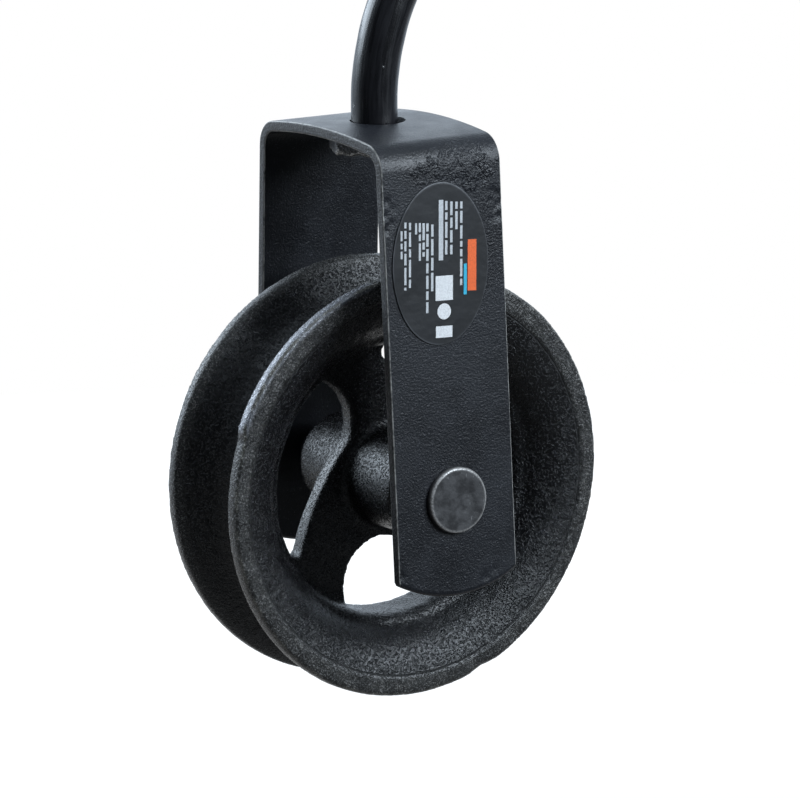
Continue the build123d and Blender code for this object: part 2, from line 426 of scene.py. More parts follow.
# %% Helpers that turn modifiers into plain meshes
def settle(piece):
    """Turn what the modifiers of a piece make into its plain mesh."""
    depsgraph = bpy.context.evaluated_depsgraph_get()
    made = bpy.data.meshes.new_from_object(
        piece.evaluated_get(depsgraph), preserve_all_data_layers=True, depsgraph=depsgraph
    )
    piece.modifiers.clear()
    piece.data = made


def shape_with(piece, tree, finish):
    """Run a shape tree on a piece with a finish, and keep the result as its plain mesh."""
    modifier = piece.modifiers.new(tree.name, "NODES")
    modifier.node_group = tree
    for item in tree.interface.items_tree:
        if item.in_out == "INPUT" and item.name == "Finish":
            modifier[item.identifier] = finish
    settle(piece)
    tell_triangles(piece)


def cut_away(piece, cutter):
    """Cut one piece by another, and put the cutter away."""
    cut = piece.modifiers.new("cut", "BOOLEAN")
    cut.operation = "DIFFERENCE"
    cut.object = cutter
    settle(piece)
    bpy.data.objects.remove(cutter)


print("modifier helpers are ready: settle, shape_with, cut_away")

# %% [markdown]
# The wheel is one sand casting. Its web has three openings, each with one round end and one
# long narrow end. The narrow ends reach a little further than in the CAD node, so its mesh is
# copied, its loose triangles are joined, and the ends are cut longer. The tool for the cut is the
# hull of two circles at each end, which is quicker than drawing its outline.

# %% Copy the CAD wheel and lengthen its openings
# radius and turn of each circle's middle round the axle, and the circle's radius
END_HOLES = [(29.3, 209.3, 1.9), (29.8, 206.8, 1.8)]
OPENING_COUNT = 3
CUT_FROM, CUT_TO = -9.0, 6.0
CIRCLE_TURNS = np.linspace(0, 2 * math.pi, 33)[:-1]


def merged_copy(node):
    """A copy of a CAD node's mesh with its loose triangles joined."""
    mesh = frame["nodes"][node].data.copy()
    mesh.materials.clear()
    joined = bmesh.new()
    joined.from_mesh(mesh)
    bmesh.ops.remove_doubles(joined, verts=joined.verts, dist=1e-6)
    joined.to_mesh(mesh)
    joined.free()
    return mesh


def end_outline(repeat):
    """Points round the two circles at the narrow end of one opening."""
    outline = []
    for radius, turn, size in END_HOLES:
        angle = math.radians(turn + 360 / OPENING_COUNT * repeat)
        centre = Vector((radius * math.cos(angle), radius * math.sin(angle)))
        outline += [centre + Vector((math.cos(a), math.sin(a))) * size for a in CIRCLE_TURNS]
    return outline


def opening_ends():
    """Prisms that lengthen one end of each opening, as one tool."""
    mesh = bpy.data.meshes.new("opening_ends")
    tool = bmesh.new()
    for repeat in range(OPENING_COUNT):
        outline = end_outline(repeat)
        ends = []
        for y in (CUT_FROM, CUT_TO):
            ends += [tool.verts.new((p.x * MM, y * MM, p.y * MM + axle_height)) for p in outline]
        bmesh.ops.convex_hull(tool, input=ends)
    loose = [vert for vert in tool.verts if not vert.link_faces]
    bmesh.ops.delete(tool, geom=loose, context="VERTS")
    bmesh.ops.recalc_face_normals(tool, faces=tool.faces)
    tool.to_mesh(mesh)
    tool.free()
    return new_piece("opening_ends", mesh)


wheel = new_piece("cast_wheel", merged_copy("wheel"))
cut_away(wheel, opening_ends())
tell_triangles(wheel)

# %% [markdown]
# The skin and the wear of a casting need small even faces, and a CAD mesh has long thin ones. A
# voxel remesh gives every part of the wheel faces of the same size. Subdividing would keep the
# thin ones thin.

# %% Give the wheel small even faces
WHEEL_FACE = 0.67 * MM
remesh = wheel.modifiers.new("even_faces", "REMESH")
remesh.mode = "VOXEL"
remesh.voxel_size = WHEEL_FACE
remesh.use_smooth_shade = True
settle(wheel)
tell_triangles(wheel)

# %% [markdown]
# The hollow sides of the rim are rounder than in the CAD node: they leave the lips almost
# level and end steep at the rim's nose. Each point of a side is moved out by the gap between
# the hollow of the source and an arc, so the mesh stays closed and even.

# %% Swell the sides of the rim
LIP_START = 45.2
RIM_MIDDLE = -1.5
# the side in the source: half its width at the lips and at the nose, and its hollow
SIDE_START = 14.3
NOSE_RADIUS, NOSE_HALF_WIDTH = 35.0, 6.9
SIDE_HOLLOW = 3.27
# the arc of the real side: its lean at the lips, its radius and the sine of its steepest lean
SIDE_LEAN, SIDE_ARC, STEEPEST = math.radians(8), 14.27, 0.98
# which points belong to a side: how far inwards they lie and how near to the source's side
SIDE_FROM, SIDE_TO = -0.01, 1.08
SIDE_MARGIN = 1.1


def mesh_points(mesh):
    """The points of a mesh as an array."""
    flat = np.empty(len(mesh.vertices) * 3, dtype=np.float32)
    mesh.vertices.foreach_get("co", flat)
    return flat.reshape(-1, 3).astype(float)


def swell_sides(mesh):
    """Move the points of the hollow sides out to the rounder form."""
    points = mesh_points(mesh)
    radius = np.hypot(points[:, 0], points[:, 2] - axle_height) / MM
    beside = points[:, 1] / MM - RIM_MIDDLE
    inward = (LIP_START - radius) / (LIP_START - NOSE_RADIUS)
    hollow = SIDE_HOLLOW * inward * (1 - inward)
    source = SIDE_START - (SIDE_START - NOSE_HALF_WIDTH) * inward - hollow
    lean = np.clip(math.sin(SIDE_LEAN) + (LIP_START - radius) / SIDE_ARC, 0, STEEPEST)
    swollen = SIDE_START - SIDE_ARC * (math.cos(SIDE_LEAN) - np.sqrt(1 - lean ** 2))
    on_side = (inward > SIDE_FROM) & (inward < SIDE_TO) & (np.abs(np.abs(beside) - source) < SIDE_MARGIN)
    rise = np.where(on_side, np.maximum(swollen - source, 0), 0)
    points[:, 1] += np.sign(beside) * rise * MM
    mesh.vertices.foreach_set("co", points.astype(np.float32).ravel())
    print("the sides swell by up to", round(float(rise.max()), 2), "mm")


swell_sides(wheel.data)

# %% [markdown]
# Paint goes first where a casting is handled: on the corners of the flanges, the lips beside
# them and the lands between. Where the gate was ground off, at the upper left of the front
# flange, bare metal shows. A noise can't know these places, so each is worked out from the
# radius, the turn and the side of a point, and marked on the mesh for the finish.

# %% Mark the wear of the flanges
FRONT_FACE, BACK_FACE = -16.2, 13.2
GROUND_TURNS = (102, 105, 157.5, 159)
GROUND_RADII = (48.6, 49.4)
GROUND_IN_FRONT_OF = -11
CORNER_RADIUS, CORNER_INSET = 49.7, 0.3
GROOVE_RADIUS, GROOVE_INSET = 50, 3.2
WORN_REACH, GROOVE_WEAR = 0.9, 0.6
# radii and places beyond the flange's face between which each rubbed band begins or ends
LIP_RADII, LIP_BEGINS = (LIP_START - 1.2, LIP_START + 0.8), (-1.6, -0.8)
LAND_RADII, LAND_ENDS, LAND_BEGINS = (47.2, 48.4), (-0.7, -0.3), (-4.6, -3.6)


def portion(value, low, high):
    """How far a value has come from low to high, smoothly, from 0 to 1."""
    part = np.clip((value - low) / (high - low), 0, 1)
    return part * part * (3 - 2 * part)


def round_axle(points):
    """Radius, turn and place along the axle of each point, in millimetres and degrees."""
    x, y, z = points[:, 0] / MM, points[:, 1] / MM, (points[:, 2] - axle_height) / MM
    return np.hypot(x, z), np.degrees(np.arctan2(z, x)) % 360, y


def mark_flanges(mesh):
    """Mark where the paint is ground off, worn to a line, or rubbed on lips and lands."""
    radius, turn, y = round_axle(mesh_points(mesh))
    first, full, fading, last = GROUND_TURNS
    ground = portion(turn, first, full) * (1 - portion(turn, fading, last))
    ground = ground * (y < GROUND_IN_FRONT_OF) * portion(radius, *GROUND_RADII)
    side = np.where(y < 0, FRONT_FACE - y, y - BACK_FACE)
    to_corner = np.hypot(np.maximum(CORNER_RADIUS - radius, 0), side + CORNER_INSET)
    to_groove = np.hypot(GROOVE_RADIUS - radius, side + GROOVE_INSET)
    groove_line = GROOVE_WEAR * (1 - to_groove / WORN_REACH)
    mark(mesh, "ground", ground)
    mark(mesh, "worn", np.maximum(1 - to_corner / WORN_REACH, groove_line).clip(0, 1))
    mark(mesh, "lip", portion(radius, *LIP_RADII) * portion(side, *LIP_BEGINS))
    land = portion(radius, *LAND_RADII) * (1 - portion(side, *LAND_ENDS)) * portion(side, *LAND_BEGINS)
    mark(mesh, "land", land)
    print("points where the gate was ground off:", int((ground > 0.5).sum()))


mark_flanges(wheel.data)

# %% [markdown]
# No casting is true. The front flange keeps its full circle only round the top; elsewhere its
# outer edge lies up to one and a half millimetres lower, with a nick near the bottom. A noise
# would put the low places anywhere, so the loss is a table by the turn round the wheel, and the
# flange points are moved inwards by it.

# %% Wear the front flange out of round
FLANGE_LOSS = [
    # turn in degrees, anticlockwise from the right, loss at the front corner and at the groove in mm
    (0, 0.95, 0.1), (15, 0.75, 0.1), (30, 0.3, 0.0), (45, 0.0, 0.0), (60, 0.0, 0.0),
    (157, 0.0, 0.0), (160, 1.4, 0.9), (165, 1.4, 1.0), (180, 1.4, 0.9), (195, 1.2, 0.7),
    (210, 1.1, 0.5), (225, 0.8, 0.2), (240, 0.4, 0.0), (255, 0.3, 0.0), (270, 0.6, 0.0),
    (285, 0.75, 0.0), (300, 0.8, 0.1), (315, 1.1, 0.1), (330, 1.25, 0.2), (345, 1.15, 0.2),
    (360, 0.95, 0.1),
]
NICK_TURN, NICK_WIDTH, NICK_DEPTH = 290, 3.0, 0.8
GROOVE_CORNER = -13.0
FLANGE_RADIUS = 50


def wear_flange(mesh):
    """Move the points of the front flange inwards."""
    points = mesh_points(mesh)
    radius, turn, y = round_axle(points)
    turns, front, groove = np.array(FLANGE_LOSS).T
    across = np.clip((GROOVE_CORNER - y) / (GROOVE_CORNER - FRONT_FACE), 0, 1)
    nick = NICK_DEPTH * np.exp(-((turn - NICK_TURN) / NICK_WIDTH) ** 2)
    front_loss = np.interp(turn, turns, front) + nick
    loss = np.interp(turn, turns, groove) * (1 - across) + front_loss * across
    loss = np.where(y < 0, loss, 0.0)
    moved = radius - loss * np.clip((radius - LIP_START) / (FLANGE_RADIUS - LIP_START), 0, 1)
    scale = moved / np.maximum(radius, 1)
    points[:, 0] *= scale
    points[:, 2] = axle_height + (points[:, 2] - axle_height) * scale
    mesh.vertices.foreach_set("co", points.astype(np.float32).ravel())
    print("the front flange loses up to", round(float((radius - moved).max()), 2), "mm")


wear_flange(wheel.data)

# %% [markdown]
# Sand leaves a pebbled skin everywhere. It is real relief, because relief painted on as bump
# alone would leave the edges of the flanges and openings ruler-straight. A Geometry Nodes tree
# moves each point along its normal by two noises: pebbles of about a millimetre, and slow
# waves. Ground and rubbed places are smoother, so both are lower there, and the lands never
# rise past the CAD wheel.

# %% The skin of the casting
LAND_CALM, GROUND_CALM = 0.5, 0.85


def cast_skin_tree():
    """Pebbles and slow waves over the casting, calmer where it was ground or rubbed."""
    sizes = {
        "Pebble Size": 1.3 * MM,
        "Pebble Depth": 0.09 * MM,
        "Wave Size": 9 * MM,
        "Wave Depth": 0.09 * MM,
    }
    tree, given = start_shape_tree("cast_skin", sizes)
    land = carried(tree, "land")
    on_land = reckon(tree, "MULTIPLY", land, LAND_CALM)
    on_ground = reckon(tree, "MULTIPLY", carried(tree, "ground"), GROUND_CALM)
    calm = reckon(tree, "SUBTRACT", 1.0, reckon(tree, "MAXIMUM", on_land, on_ground))
    raw, pebbles = lumps(tree, given["Pebble Size"], 2.0)
    waves = lumps(tree, given["Wave Size"], 1.0)[1]
    height = reckon(tree, "MULTIPLY", reckon(tree, "MULTIPLY", pebbles, calm), given["Pebble Depth"])
    wave_depth = reckon(tree, "MULTIPLY", given["Wave Depth"], calm)
    height = reckon(tree, "MULTIPLY_ADD", waves, wave_depth, height)
    height = reckon(tree, "MINIMUM", height, reckon(tree, "SUBTRACT", 1.0, land))
    kept = stored(tree, given["Geometry"], "pebble", raw)
    end_shape_tree(tree, pushed_out(tree, kept, height), given)
    return tree


skin_tree = cast_skin_tree()

# %% [markdown]
# The pattern of this casting had a small step, which left a thin broken line round the front
# flange. It is far finer than the faces of the mesh, so it is drawn in the finish: a dark ring
# at one radius that wanders a little and fades in places.

# %% The step line of the casting
STEP_RADIUS = 44.7
STEP_WANDER = 0.5
STEP_FRONT = (-15.0 * MM, -14.0 * MM)
STEP_WIDTH = (0.08 * MM, 0.26 * MM)


def step_line(tree, place, patch):
    """A thin broken line round the front flange, from 0 to 1."""
    parts = add(tree, "ShaderNodeSeparateXYZ", {0: place}).outputs
    height = reckon(tree, "SUBTRACT", parts[2], axle_height)
    flat = add(tree, "ShaderNodeCombineXYZ", {0: parts[0], 1: 0.0, 2: height}).outputs[0]
    radius = add(tree, "ShaderNodeVectorMath", {0: flat}, operation="LENGTH").outputs["Value"]
    least = (STEP_RADIUS - STEP_WANDER / 2) * MM
    wander = reckon(tree, "MULTIPLY_ADD", patch, STEP_WANDER * MM, least)
    gap = reckon(tree, "ABSOLUTE", reckon(tree, "SUBTRACT", radius, wander))
    front = grade(tree, parts[1], *STEP_FRONT, 1.0, 0.0)
    line = reckon(tree, "MULTIPLY", grade(tree, gap, *STEP_WIDTH, 0.9, 0.0), front)
    return reckon(tree, "MULTIPLY", line, grade(tree, patch, 0.32, 0.5, 0.35, 1.0))


print("the step line runs at radius", STEP_RADIUS, "mm")

# %% [markdown]
# Cast iron under thin black paint. Its colour is near black in the pebble hollows, as painted
# shade, greyer on the crests, as painted light, and has painted glints where the pebbles stand
# proud. It is rubbed to dull metal on the lips and lands, and bare where the gate was ground. A
# scanned picture could give this, but it would not fit the flanges. Here the marks on the mesh
# say where each coat is worn, and noise breaks up their borders.

# %% The finish of the casting
# black paint with painted shade in the pebble hollows and painted light on their crests
SHADED_HOLLOW_PAINT, LIT_CREST_PAINT = (0.0012, 0.0012, 0.0016, 1), (0.0045, 0.005, 0.0065, 1)
# painted glints: pale specks on the proud pebbles
PAINTED_GLINT = (0.020, 0.021, 0.026, 1)
RUBBED_DARK, RUBBED_PALE = (0.026, 0.026, 0.025, 1), (0.22, 0.215, 0.205, 1)
BARE_DARK, BARE_PALE = (0.15, 0.155, 0.17, 1), (0.36, 0.37, 0.39, 1)
CORNER_DARK, CORNER_PALE = (0.09, 0.088, 0.08, 1), (0.34, 0.33, 0.30, 1)
STEP_DARK = (0.0015, 0.0015, 0.0015, 1)
LAND_RUB = 0.8
METAL_SHARE = 0.6
GLOSSY_PAINT, DULL_PAINT = 0.27, 0.75


def cast_colour(tree, place, fine, patch, step, broken):
    """Black paint with painted shade in its hollows, painted light and glints on its pebbles, and the places
    where it is rubbed or gone.
    """
    glint_noise = mottle(tree, place, 0.42 * MM, 1.0, 0.5)
    pebble = marked(tree, "pebble")
    lit_crests = reckon(tree, "MULTIPLY", grade(tree, pebble, 0.46, 0.66), grade(tree, fine, 0.4, 0.62))
    flecks = grade(tree, fine, 0.53, 0.68)
    rubbed = blend(tree, flecks, RUBBED_DARK, RUBBED_PALE)
    bare = blend(tree, flecks, BARE_DARK, BARE_PALE)
    corner = blend(tree, flecks, CORNER_DARK, CORNER_PALE)
    lip = reckon(tree, "MULTIPLY", marked(tree, "lip"), grade(tree, patch, 0.3, 0.65, 0.35, 1.0))
    proud = grade(tree, pebble, 0.42, 0.6, 0.2, 1.0)
    # painted glints on the proud pebbles
    painted_glints = reckon(tree, "MULTIPLY", grade(tree, glint_noise, 0.60, 0.72), proud)
    # painted shade in the pebble hollows, painted light on their crests
    colour = blend(tree, lit_crests, SHADED_HOLLOW_PAINT, LIT_CREST_PAINT)
    colour = blend(tree, painted_glints, colour, PAINTED_GLINT)
    colour = blend(tree, lip, colour, rubbed)
    colour = blend(tree, reckon(tree, "MULTIPLY", marked(tree, "land"), LAND_RUB), colour, rubbed)
    colour = blend(tree, marked(tree, "ground"), colour, bare)
    colour = blend(tree, grade(tree, broken, 0.25, 0.7), colour, corner)
    return blend(tree, step, colour, STEP_DARK)


def cast_finish():
    """Black paint over sand-cast iron, rubbed grey on the flanges."""
    material, tree, shader, place = start_finish("cast_black_paint")
    fine = mottle(tree, place, 0.42 * MM, 3.0, 0.65)
    grit = mottle(tree, place, 0.58 * MM, 2.0, 0.6)
    patch = mottle(tree, place, 6 * MM, 3.0, 0.6)
    step = step_line(tree, place, patch)
    broken = reckon(tree, "MULTIPLY", marked(tree, "worn"), grade(tree, patch, 0.35, 0.6, 0.25, 1.0))
    colour = cast_colour(tree, place, fine, patch, step, broken)
    tree.links.new(colour, shader.inputs["Base Color"])
    metal = reckon(tree, "MAXIMUM", marked(tree, "ground"), broken)
    tree.links.new(reckon(tree, "MULTIPLY", metal, METAL_SHARE), shader.inputs["Metallic"])
    dull = reckon(tree, "MAXIMUM", step, grade(tree, grit, 0.30, 0.46, 0.5, 0.0))
    roughness = grade(tree, dull, 0.0, 1.0, GLOSSY_PAINT, DULL_PAINT)
    tree.links.new(roughness, shader.inputs["Roughness"])
    pits = grade(tree, grit, 0.34, 0.52)
    relief(tree, shader, (pits, 0.12 * MM), (fine, 0.16 * MM), (step, -0.10 * MM))
    tell_nodes(material.name, tree)
    return material


casting_paint = cast_finish()

# %% [markdown]
# The worn casting now gets its skin and its paint. The finished piece stands in for the CAD
# node and turns with the wheel's body.

# %% Finish the wheel
shape_with(wheel, skin_tree, casting_paint)
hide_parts("wheel")
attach(wheel, "wheel")

# %% [markdown]
# The yoke is one steel strap folded twice. It could be bent from a flat sheet by a modifier,
# but its crown is an arc and its legs are splayed. So it is built as a grid: a rounded section
# is carried along the folded line. Half of that line is worked out here, from the top of a leg
# round a bend to the middle of the crown, with no corner between them.

# %% The folded line of the strap
STRAP_THICKNESS = 2.5
CROWN_RADIUS = 165.0
BEND_RADIUS = 6.5
BEND_POINTS = 18
STRAP_STEP = 0.6


def arc_line(centre, radius, angles):
    """Points and normals along an arc."""
    normals = [Vector((math.cos(angle), math.sin(angle))) for angle in angles]
    return [centre + normal * radius for normal in normals], normals


def folded_line():
    """Half of the strap's outer line from the leg's top to the crown: points and normals."""
    splay = math.atan(LEG_SPLAY)
    leg_normal = Vector((math.cos(splay), math.sin(splay)))
    reach = LEG_HALF_SPREAD * math.cos(splay) - BEND_RADIUS
    crown_centre = Vector((0, YOKE_HEIGHT - CROWN_RADIUS))
    along = Vector((-leg_normal.y, leg_normal.x))
    foot = leg_normal * reach - crown_centre
    ring = CROWN_RADIUS - BEND_RADIUS
    slide = -foot.dot(along) + math.sqrt(foot.dot(along) ** 2 - foot.length_squared + ring ** 2)
    bend_centre = crown_centre + foot + along * slide
    crown_start = math.atan2(*reversed((bend_centre - crown_centre).normalized()))
    crown_steps = round(CROWN_RADIUS * (math.pi / 2 - crown_start) / STRAP_STEP)
    crown_angles = np.linspace(crown_start, math.pi / 2, crown_steps + 1)[1:]
    bend = arc_line(bend_centre, BEND_RADIUS, np.linspace(splay, crown_start, BEND_POINTS))
    crown = arc_line(crown_centre, CROWN_RADIUS, crown_angles)
    return bend[0] + crown[0], bend[1] + crown[1]


bend_points, bend_normals = folded_line()
print("the outside of the bend starts", round(bend_points[0].y, 2), "mm above the axle")

# %% [markdown]
# Cut across, the strap is a thin rectangle with slightly rounded corners. Its points are close
# together at the corners, where light shows the curve, and evenly spaced over the flat faces,
# which have to take the dents.

# %% The section of the strap
STRAP_HALF = 15.8
EDGE_ROUND = 0.35
EDGE_FIRST_STEP = 0.2
EDGE_MARGIN = 0.7


def strap_section():
    """Places across the strap and depths below its outer face, round one rounded section."""
    flat = STRAP_HALF - EDGE_ROUND
    wide = flat - EDGE_MARGIN
    middle = np.linspace(-wide, wide, round(2 * wide / STRAP_STEP) + 1)
    first, last = [-flat, -flat + EDGE_FIRST_STEP], [flat - EDGE_FIRST_STEP, flat]
    across = np.concatenate((first, middle, last))
    turn = np.linspace(0, math.pi / 2, 5)[1:-1]
    low = STRAP_THICKNESS - EDGE_ROUND
    corner = [(flat + EDGE_ROUND * math.sin(a), EDGE_ROUND * (1 - math.cos(a))) for a in turn]
    side = [(STRAP_HALF, depth) for depth in np.linspace(EDGE_ROUND, low, 5)]
    far_corner = [(x, STRAP_THICKNESS - depth) for x, depth in reversed(corner)]
    right = corner + side + far_corner
    left = [(-x, depth) for x, depth in reversed(right)]
    outer = [(x, 0.0) for x in across]
    inner = [(x, STRAP_THICKNESS) for x in across[::-1]]
    return np.array(outer + right + inner + left), len(across)


section, flat_count = strap_section()
print("the section of the strap has", len(section), "points")

# %% [markdown]
# The legs of the real strap end in a shallow curve. The rows of the grid are therefore not cut
# off but stretched: each point of a leg lies at a share of the way from the curved end to the
# bend, so the last row follows the curve and every face stays four-sided.

# %% The rows of the strap's grid
LEG_CORNER_DROP = 17.8
LEG_END_RADIUS = 31.0


def leg_end(x):
    """Height of the curved end of a leg, at a place across the strap."""
    corner = math.sqrt(LEG_END_RADIUS ** 2 - STRAP_HALF ** 2)
    return -LEG_CORNER_DROP - (np.sqrt(LEG_END_RADIUS ** 2 - x ** 2) - corner)


def strap_rows():
    """For each row of the grid: its points' places in Y and Z, and its normal."""
    rows = []
    leg_top = bend_points[0]
    leg_count = round((leg_top.y + LEG_CORNER_DROP) / STRAP_STEP)
    for side in (-1, 1):
        legs = []
        for part in np.linspace(0, 1, leg_count + 1)[:-1]:
            bottom = leg_end(section[:, 0])
            height = bottom + (leg_top.y - bottom) * part
            legs.append((LEG_HALF_SPREAD - LEG_SPLAY * height, height, bend_normals[0]))
        fold = [(point.x, point.y, normal) for point, normal in zip(bend_points, bend_normals)]
        half = [(side * y + 0 * section[:, 0], z + 0 * section[:, 0], (side * normal.x, normal.y))
                for y, z, normal in legs + fold]
        rows += half if side < 0 else half[::-1][1:]
    return rows


rows = strap_rows()
print("the strap has", len(rows), "rows")

# %% [markdown]
# The tool that folded the strap left two rows of pits at its edges and a rough patch under the
# bend, and the end of the leg was knocked in use. Dents are soft pits, each with a place on the
# leg, a reach and a depth. Sculpting could make them too, but a table can be measured and
# changed. The grid is joined into faces and closed at both ends.

# %% Bruise the strap and join its grid
BRUISES = [
    # across, up the leg, reach, depth, in millimetres
    (13.4, 69.2, 0.9, 0.30), (14.6, 68.2, 0.8, 0.35), (13.1, 66.9, 0.8, 0.30), (14.8, 66.1, 0.9, 0.40),
    (13.6, 64.9, 0.7, 0.30), (14.7, 63.3, 0.8, 0.35), (12.9, 62.8, 0.6, 0.20),
    (-14.6, 69.3, 0.9, 0.35), (-13.4, 67.6, 0.8, 0.25), (-14.9, 66.2, 0.8, 0.35), (-13.9, 64.4, 0.8, 0.30),
    (-15.1, 63.0, 0.9, 0.35), (-4.6, 78.2, 0.9, 0.07), (-1.6, 76.6, 1.0, 0.09), (1.4, 77.8, 1.0, 0.10),
    (4.1, 75.4, 1.1, 0.11), (7.2, 77.0, 1.0, 0.10), (9.8, 74.9, 1.1, 0.10), (6.1, 72.2, 0.9, 0.08),
    (2.6, 72.8, 0.8, 0.07), (11.2, 71.8, 0.9, 0.09), (12.4, 75.8, 0.8, 0.08), (-6.8, 74.2, 0.8, 0.06),
    (12.9, 34.0, 0.5, 0.12), (7.4, -19.2, 0.8, 0.30), (9.6, -17.6, 0.7, 0.20), (-15.1, -15.7, 0.7, 0.25),
]


def bruised_points():
    """The points of the grid, sunk where the front leg is bruised."""
    across, depth = section[:, 0], section[:, 1]
    points = []
    for number, (y, z, normal) in enumerate(rows):
        from_end = min(number, len(rows) - 1 - number)
        inset = EDGE_ROUND if from_end == 0 else 0.0
        x = np.clip(across, inset - STRAP_HALF, STRAP_HALF - inset)
        below = np.clip(depth, inset, STRAP_THICKNESS - inset)
        if y[0] < 0:
            for place, height, reach, pit in BRUISES:
                gap = (across - place) ** 2 + (z - height) ** 2
                below = below + pit * np.exp(-gap / reach ** 2) * (depth < STRAP_THICKNESS / 2)
        points.append(np.stack([x, y - normal[0] * below, z - normal[1] * below], axis=1))
    return np.concatenate(points) * MM + AXLE


def grid_faces():
    """Faces between the rows, all the way round the section."""
    count = len(section)
    faces = []
    for row in range(len(rows) - 1):
        for place in range(count):
            a = row * count + place
            b = row * count + (place + 1) % count
            faces.append((a, b, b + count, a + count))
    return faces


def end_faces():
    """Strips between the outer and the inner face that close both ends of the strap."""
    count = len(section)
    start = -((count - 2 * flat_count) // 4)
    faces = []
    for first in (0, (len(rows) - 1) * count):
        rungs = []
        for step in range(count // 2):
            rungs.append((first + (start + step) % count, first + (start - 1 - step) % count))
        for (a, b), (c, d) in zip(rungs, rungs[1:]):
            faces.append((a, b, d, c))
    return faces


strap_mesh = mesh_from("strap_yoke", bruised_points(), grid_faces() + end_faces())
print("the strap has", len(strap_mesh.polygons), "faces")

# %% [markdown]
# The strap was sheared from a sheet, so its narrow sides are rough, and paint has rubbed through
# along its edges. A noise doesn't know where an edge is, but the grid does: every row has the
# same section, so the points of its corners and sides are found once and marked in each row.

# %% Mark the edges of the strap
inside_round = EDGE_ROUND * 0.95
from_side = STRAP_HALF - np.abs(section[:, 0])
from_face = np.minimum(section[:, 1], STRAP_THICKNESS - section[:, 1])
on_corner = (from_side < inside_round) & (from_face < inside_round)
on_cut = from_face >= inside_round
mark(strap_mesh, "edge", np.tile(on_corner.astype(float), len(rows)))
mark(strap_mesh, "cut", np.tile(on_cut.astype(float), len(rows)))
print("points on the section's corners:", int(on_corner.sum()), "and on its sides:", int(on_cut.sum()))

# %% [markdown]
# Satin paint on the strap: black with a fine light speckle, and a thin light line along each
# edge. The sheared sides are rougher, and the paint is crinkled in a patch below the bend. The
# speckle could be one noise, but a second, slow noise makes it denser in some places, as dust
# settles into wet paint.

# %% The finish of the strap
CRINKLE_PLACE = (4.5 * MM, -28 * MM, axle_height + 75.3 * MM)
CRINKLE_REACH = (10.0 * MM, 8 * MM, 5.6 * MM)
STRAP_DARK, STRAP_LIGHT = (0.0022, 0.0028, 0.0048, 1), (0.004, 0.0052, 0.0085, 1)
STRAP_SPECK = (0.055, 0.058, 0.066, 1)
SHEARED_DARK, SHEARED_PALE = (0.003, 0.003, 0.0035, 1), (0.03, 0.031, 0.035, 1)
RUBBED_EDGE = (0.34, 0.335, 0.32, 1)
STRAP_GLOSS = 0.4
SHEARED_ROUGHER = 0.08


def crinkles(tree, place, breaks):
    """Fine relief inside one ragged patch below the bend."""
    gap = add(tree, "ShaderNodeVectorMath", {0: place, 1: CRINKLE_PLACE}, operation="SUBTRACT").outputs[0]
    gap = add(tree, "ShaderNodeVectorMath", {0: gap, 1: CRINKLE_REACH}, operation="DIVIDE").outputs[0]
    gap = add(tree, "ShaderNodeVectorMath", {0: gap}, operation="LENGTH").outputs["Value"]
    ragged = reckon(tree, "ADD", gap, grade(tree, breaks, 0.3, 0.7, -0.5, 0.5))
    folds = mottle(tree, place, 1.0 * MM, 3.0, 0.65)
    return reckon(tree, "MULTIPLY", folds, grade(tree, ragged, 0.4, 1.0, 1.0, 0.0))


def strap_finish():
    """Satin black paint with a fine speckle, rubbed edges and rough sheared sides."""
    material, tree, shader, place = start_finish("strap_satin_paint")
    peel = mottle(tree, place, 0.46 * MM, 2.0, 0.6)
    dust = mottle(tree, place, 0.38 * MM, 1.0, 0.5)
    patch = mottle(tree, place, 13 * MM, 4.0, 0.6)
    breaks = mottle(tree, place, 2.6 * MM, 3.0, 0.7)
    cut = marked(tree, "cut")
    dusty = grade(tree, patch, 0.3, 0.62, 0.25, 1.0)
    specks = reckon(tree, "MULTIPLY", grade(tree, dust, 0.62, 0.76), dusty)
    tone = blend(tree, grade(tree, patch, 0.3, 0.7), STRAP_DARK, STRAP_LIGHT)
    speckled = blend(tree, specks, tone, STRAP_SPECK)
    sheared = blend(tree, grade(tree, dust, 0.5, 0.7), SHEARED_DARK, SHEARED_PALE)
    sided = blend(tree, cut, speckled, sheared)
    edge = grade(tree, marked(tree, "edge"), 0.35, 0.9)
    rub = reckon(tree, "MULTIPLY", edge, grade(tree, breaks, 0.3, 0.62, 0.25, 1.0))
    tree.links.new(blend(tree, rub, sided, RUBBED_EDGE), shader.inputs["Base Color"])
    satin = grade(tree, patch, 0.3, 0.7, 0.36, 0.46)
    roughness = reckon(tree, "MULTIPLY_ADD", cut, SHEARED_ROUGHER, satin)
    tree.links.new(roughness, shader.inputs["Roughness"])
    shader.inputs["Specular IOR Level"].default_value = STRAP_GLOSS
    rough_side = reckon(tree, "MULTIPLY", cut, mottle(tree, place, 0.5 * MM, 2.0, 0.6))
    crinkled = crinkles(tree, place, breaks)
    relief(tree, shader, (peel, 0.13 * MM), (rough_side, 0.2 * MM), (crinkled, 0.40 * MM))
    tell_nodes(material.name, tree)
    return material


strap_paint = strap_finish()

# %% [markdown]
# The strap has three holes: one in the crown, in which it swivels on the hook, and one in each
# leg for the pin. They could be left out of the grid, but then its faces would have to bend
# round them. A drill is simpler, and one that reaches through both legs makes the last two holes
# in one cut, so they are sure to be in line.

# %% Drill the strap and finish the yoke
HOOK_HOLE = 12.8 * MM
PIN_HOLE = 10.1 * MM
HOOK_DRILL = 10 * MM
PIN_DRILL = 90 * MM


def drill(piece, diameter, length, place, turn):
    """Cut a round hole through a piece."""
    mesh = bpy.data.meshes.new("drill")
    tool = bmesh.new()
    bmesh.ops.create_cone(tool, cap_ends=True, segments=96, radius1=diameter / 2, radius2=diameter / 2,
                          depth=length, matrix=Matrix.Translation(place) @ turn)
    tool.to_mesh(mesh)
    tool.free()
    cut_away(piece, new_piece("drill", mesh))


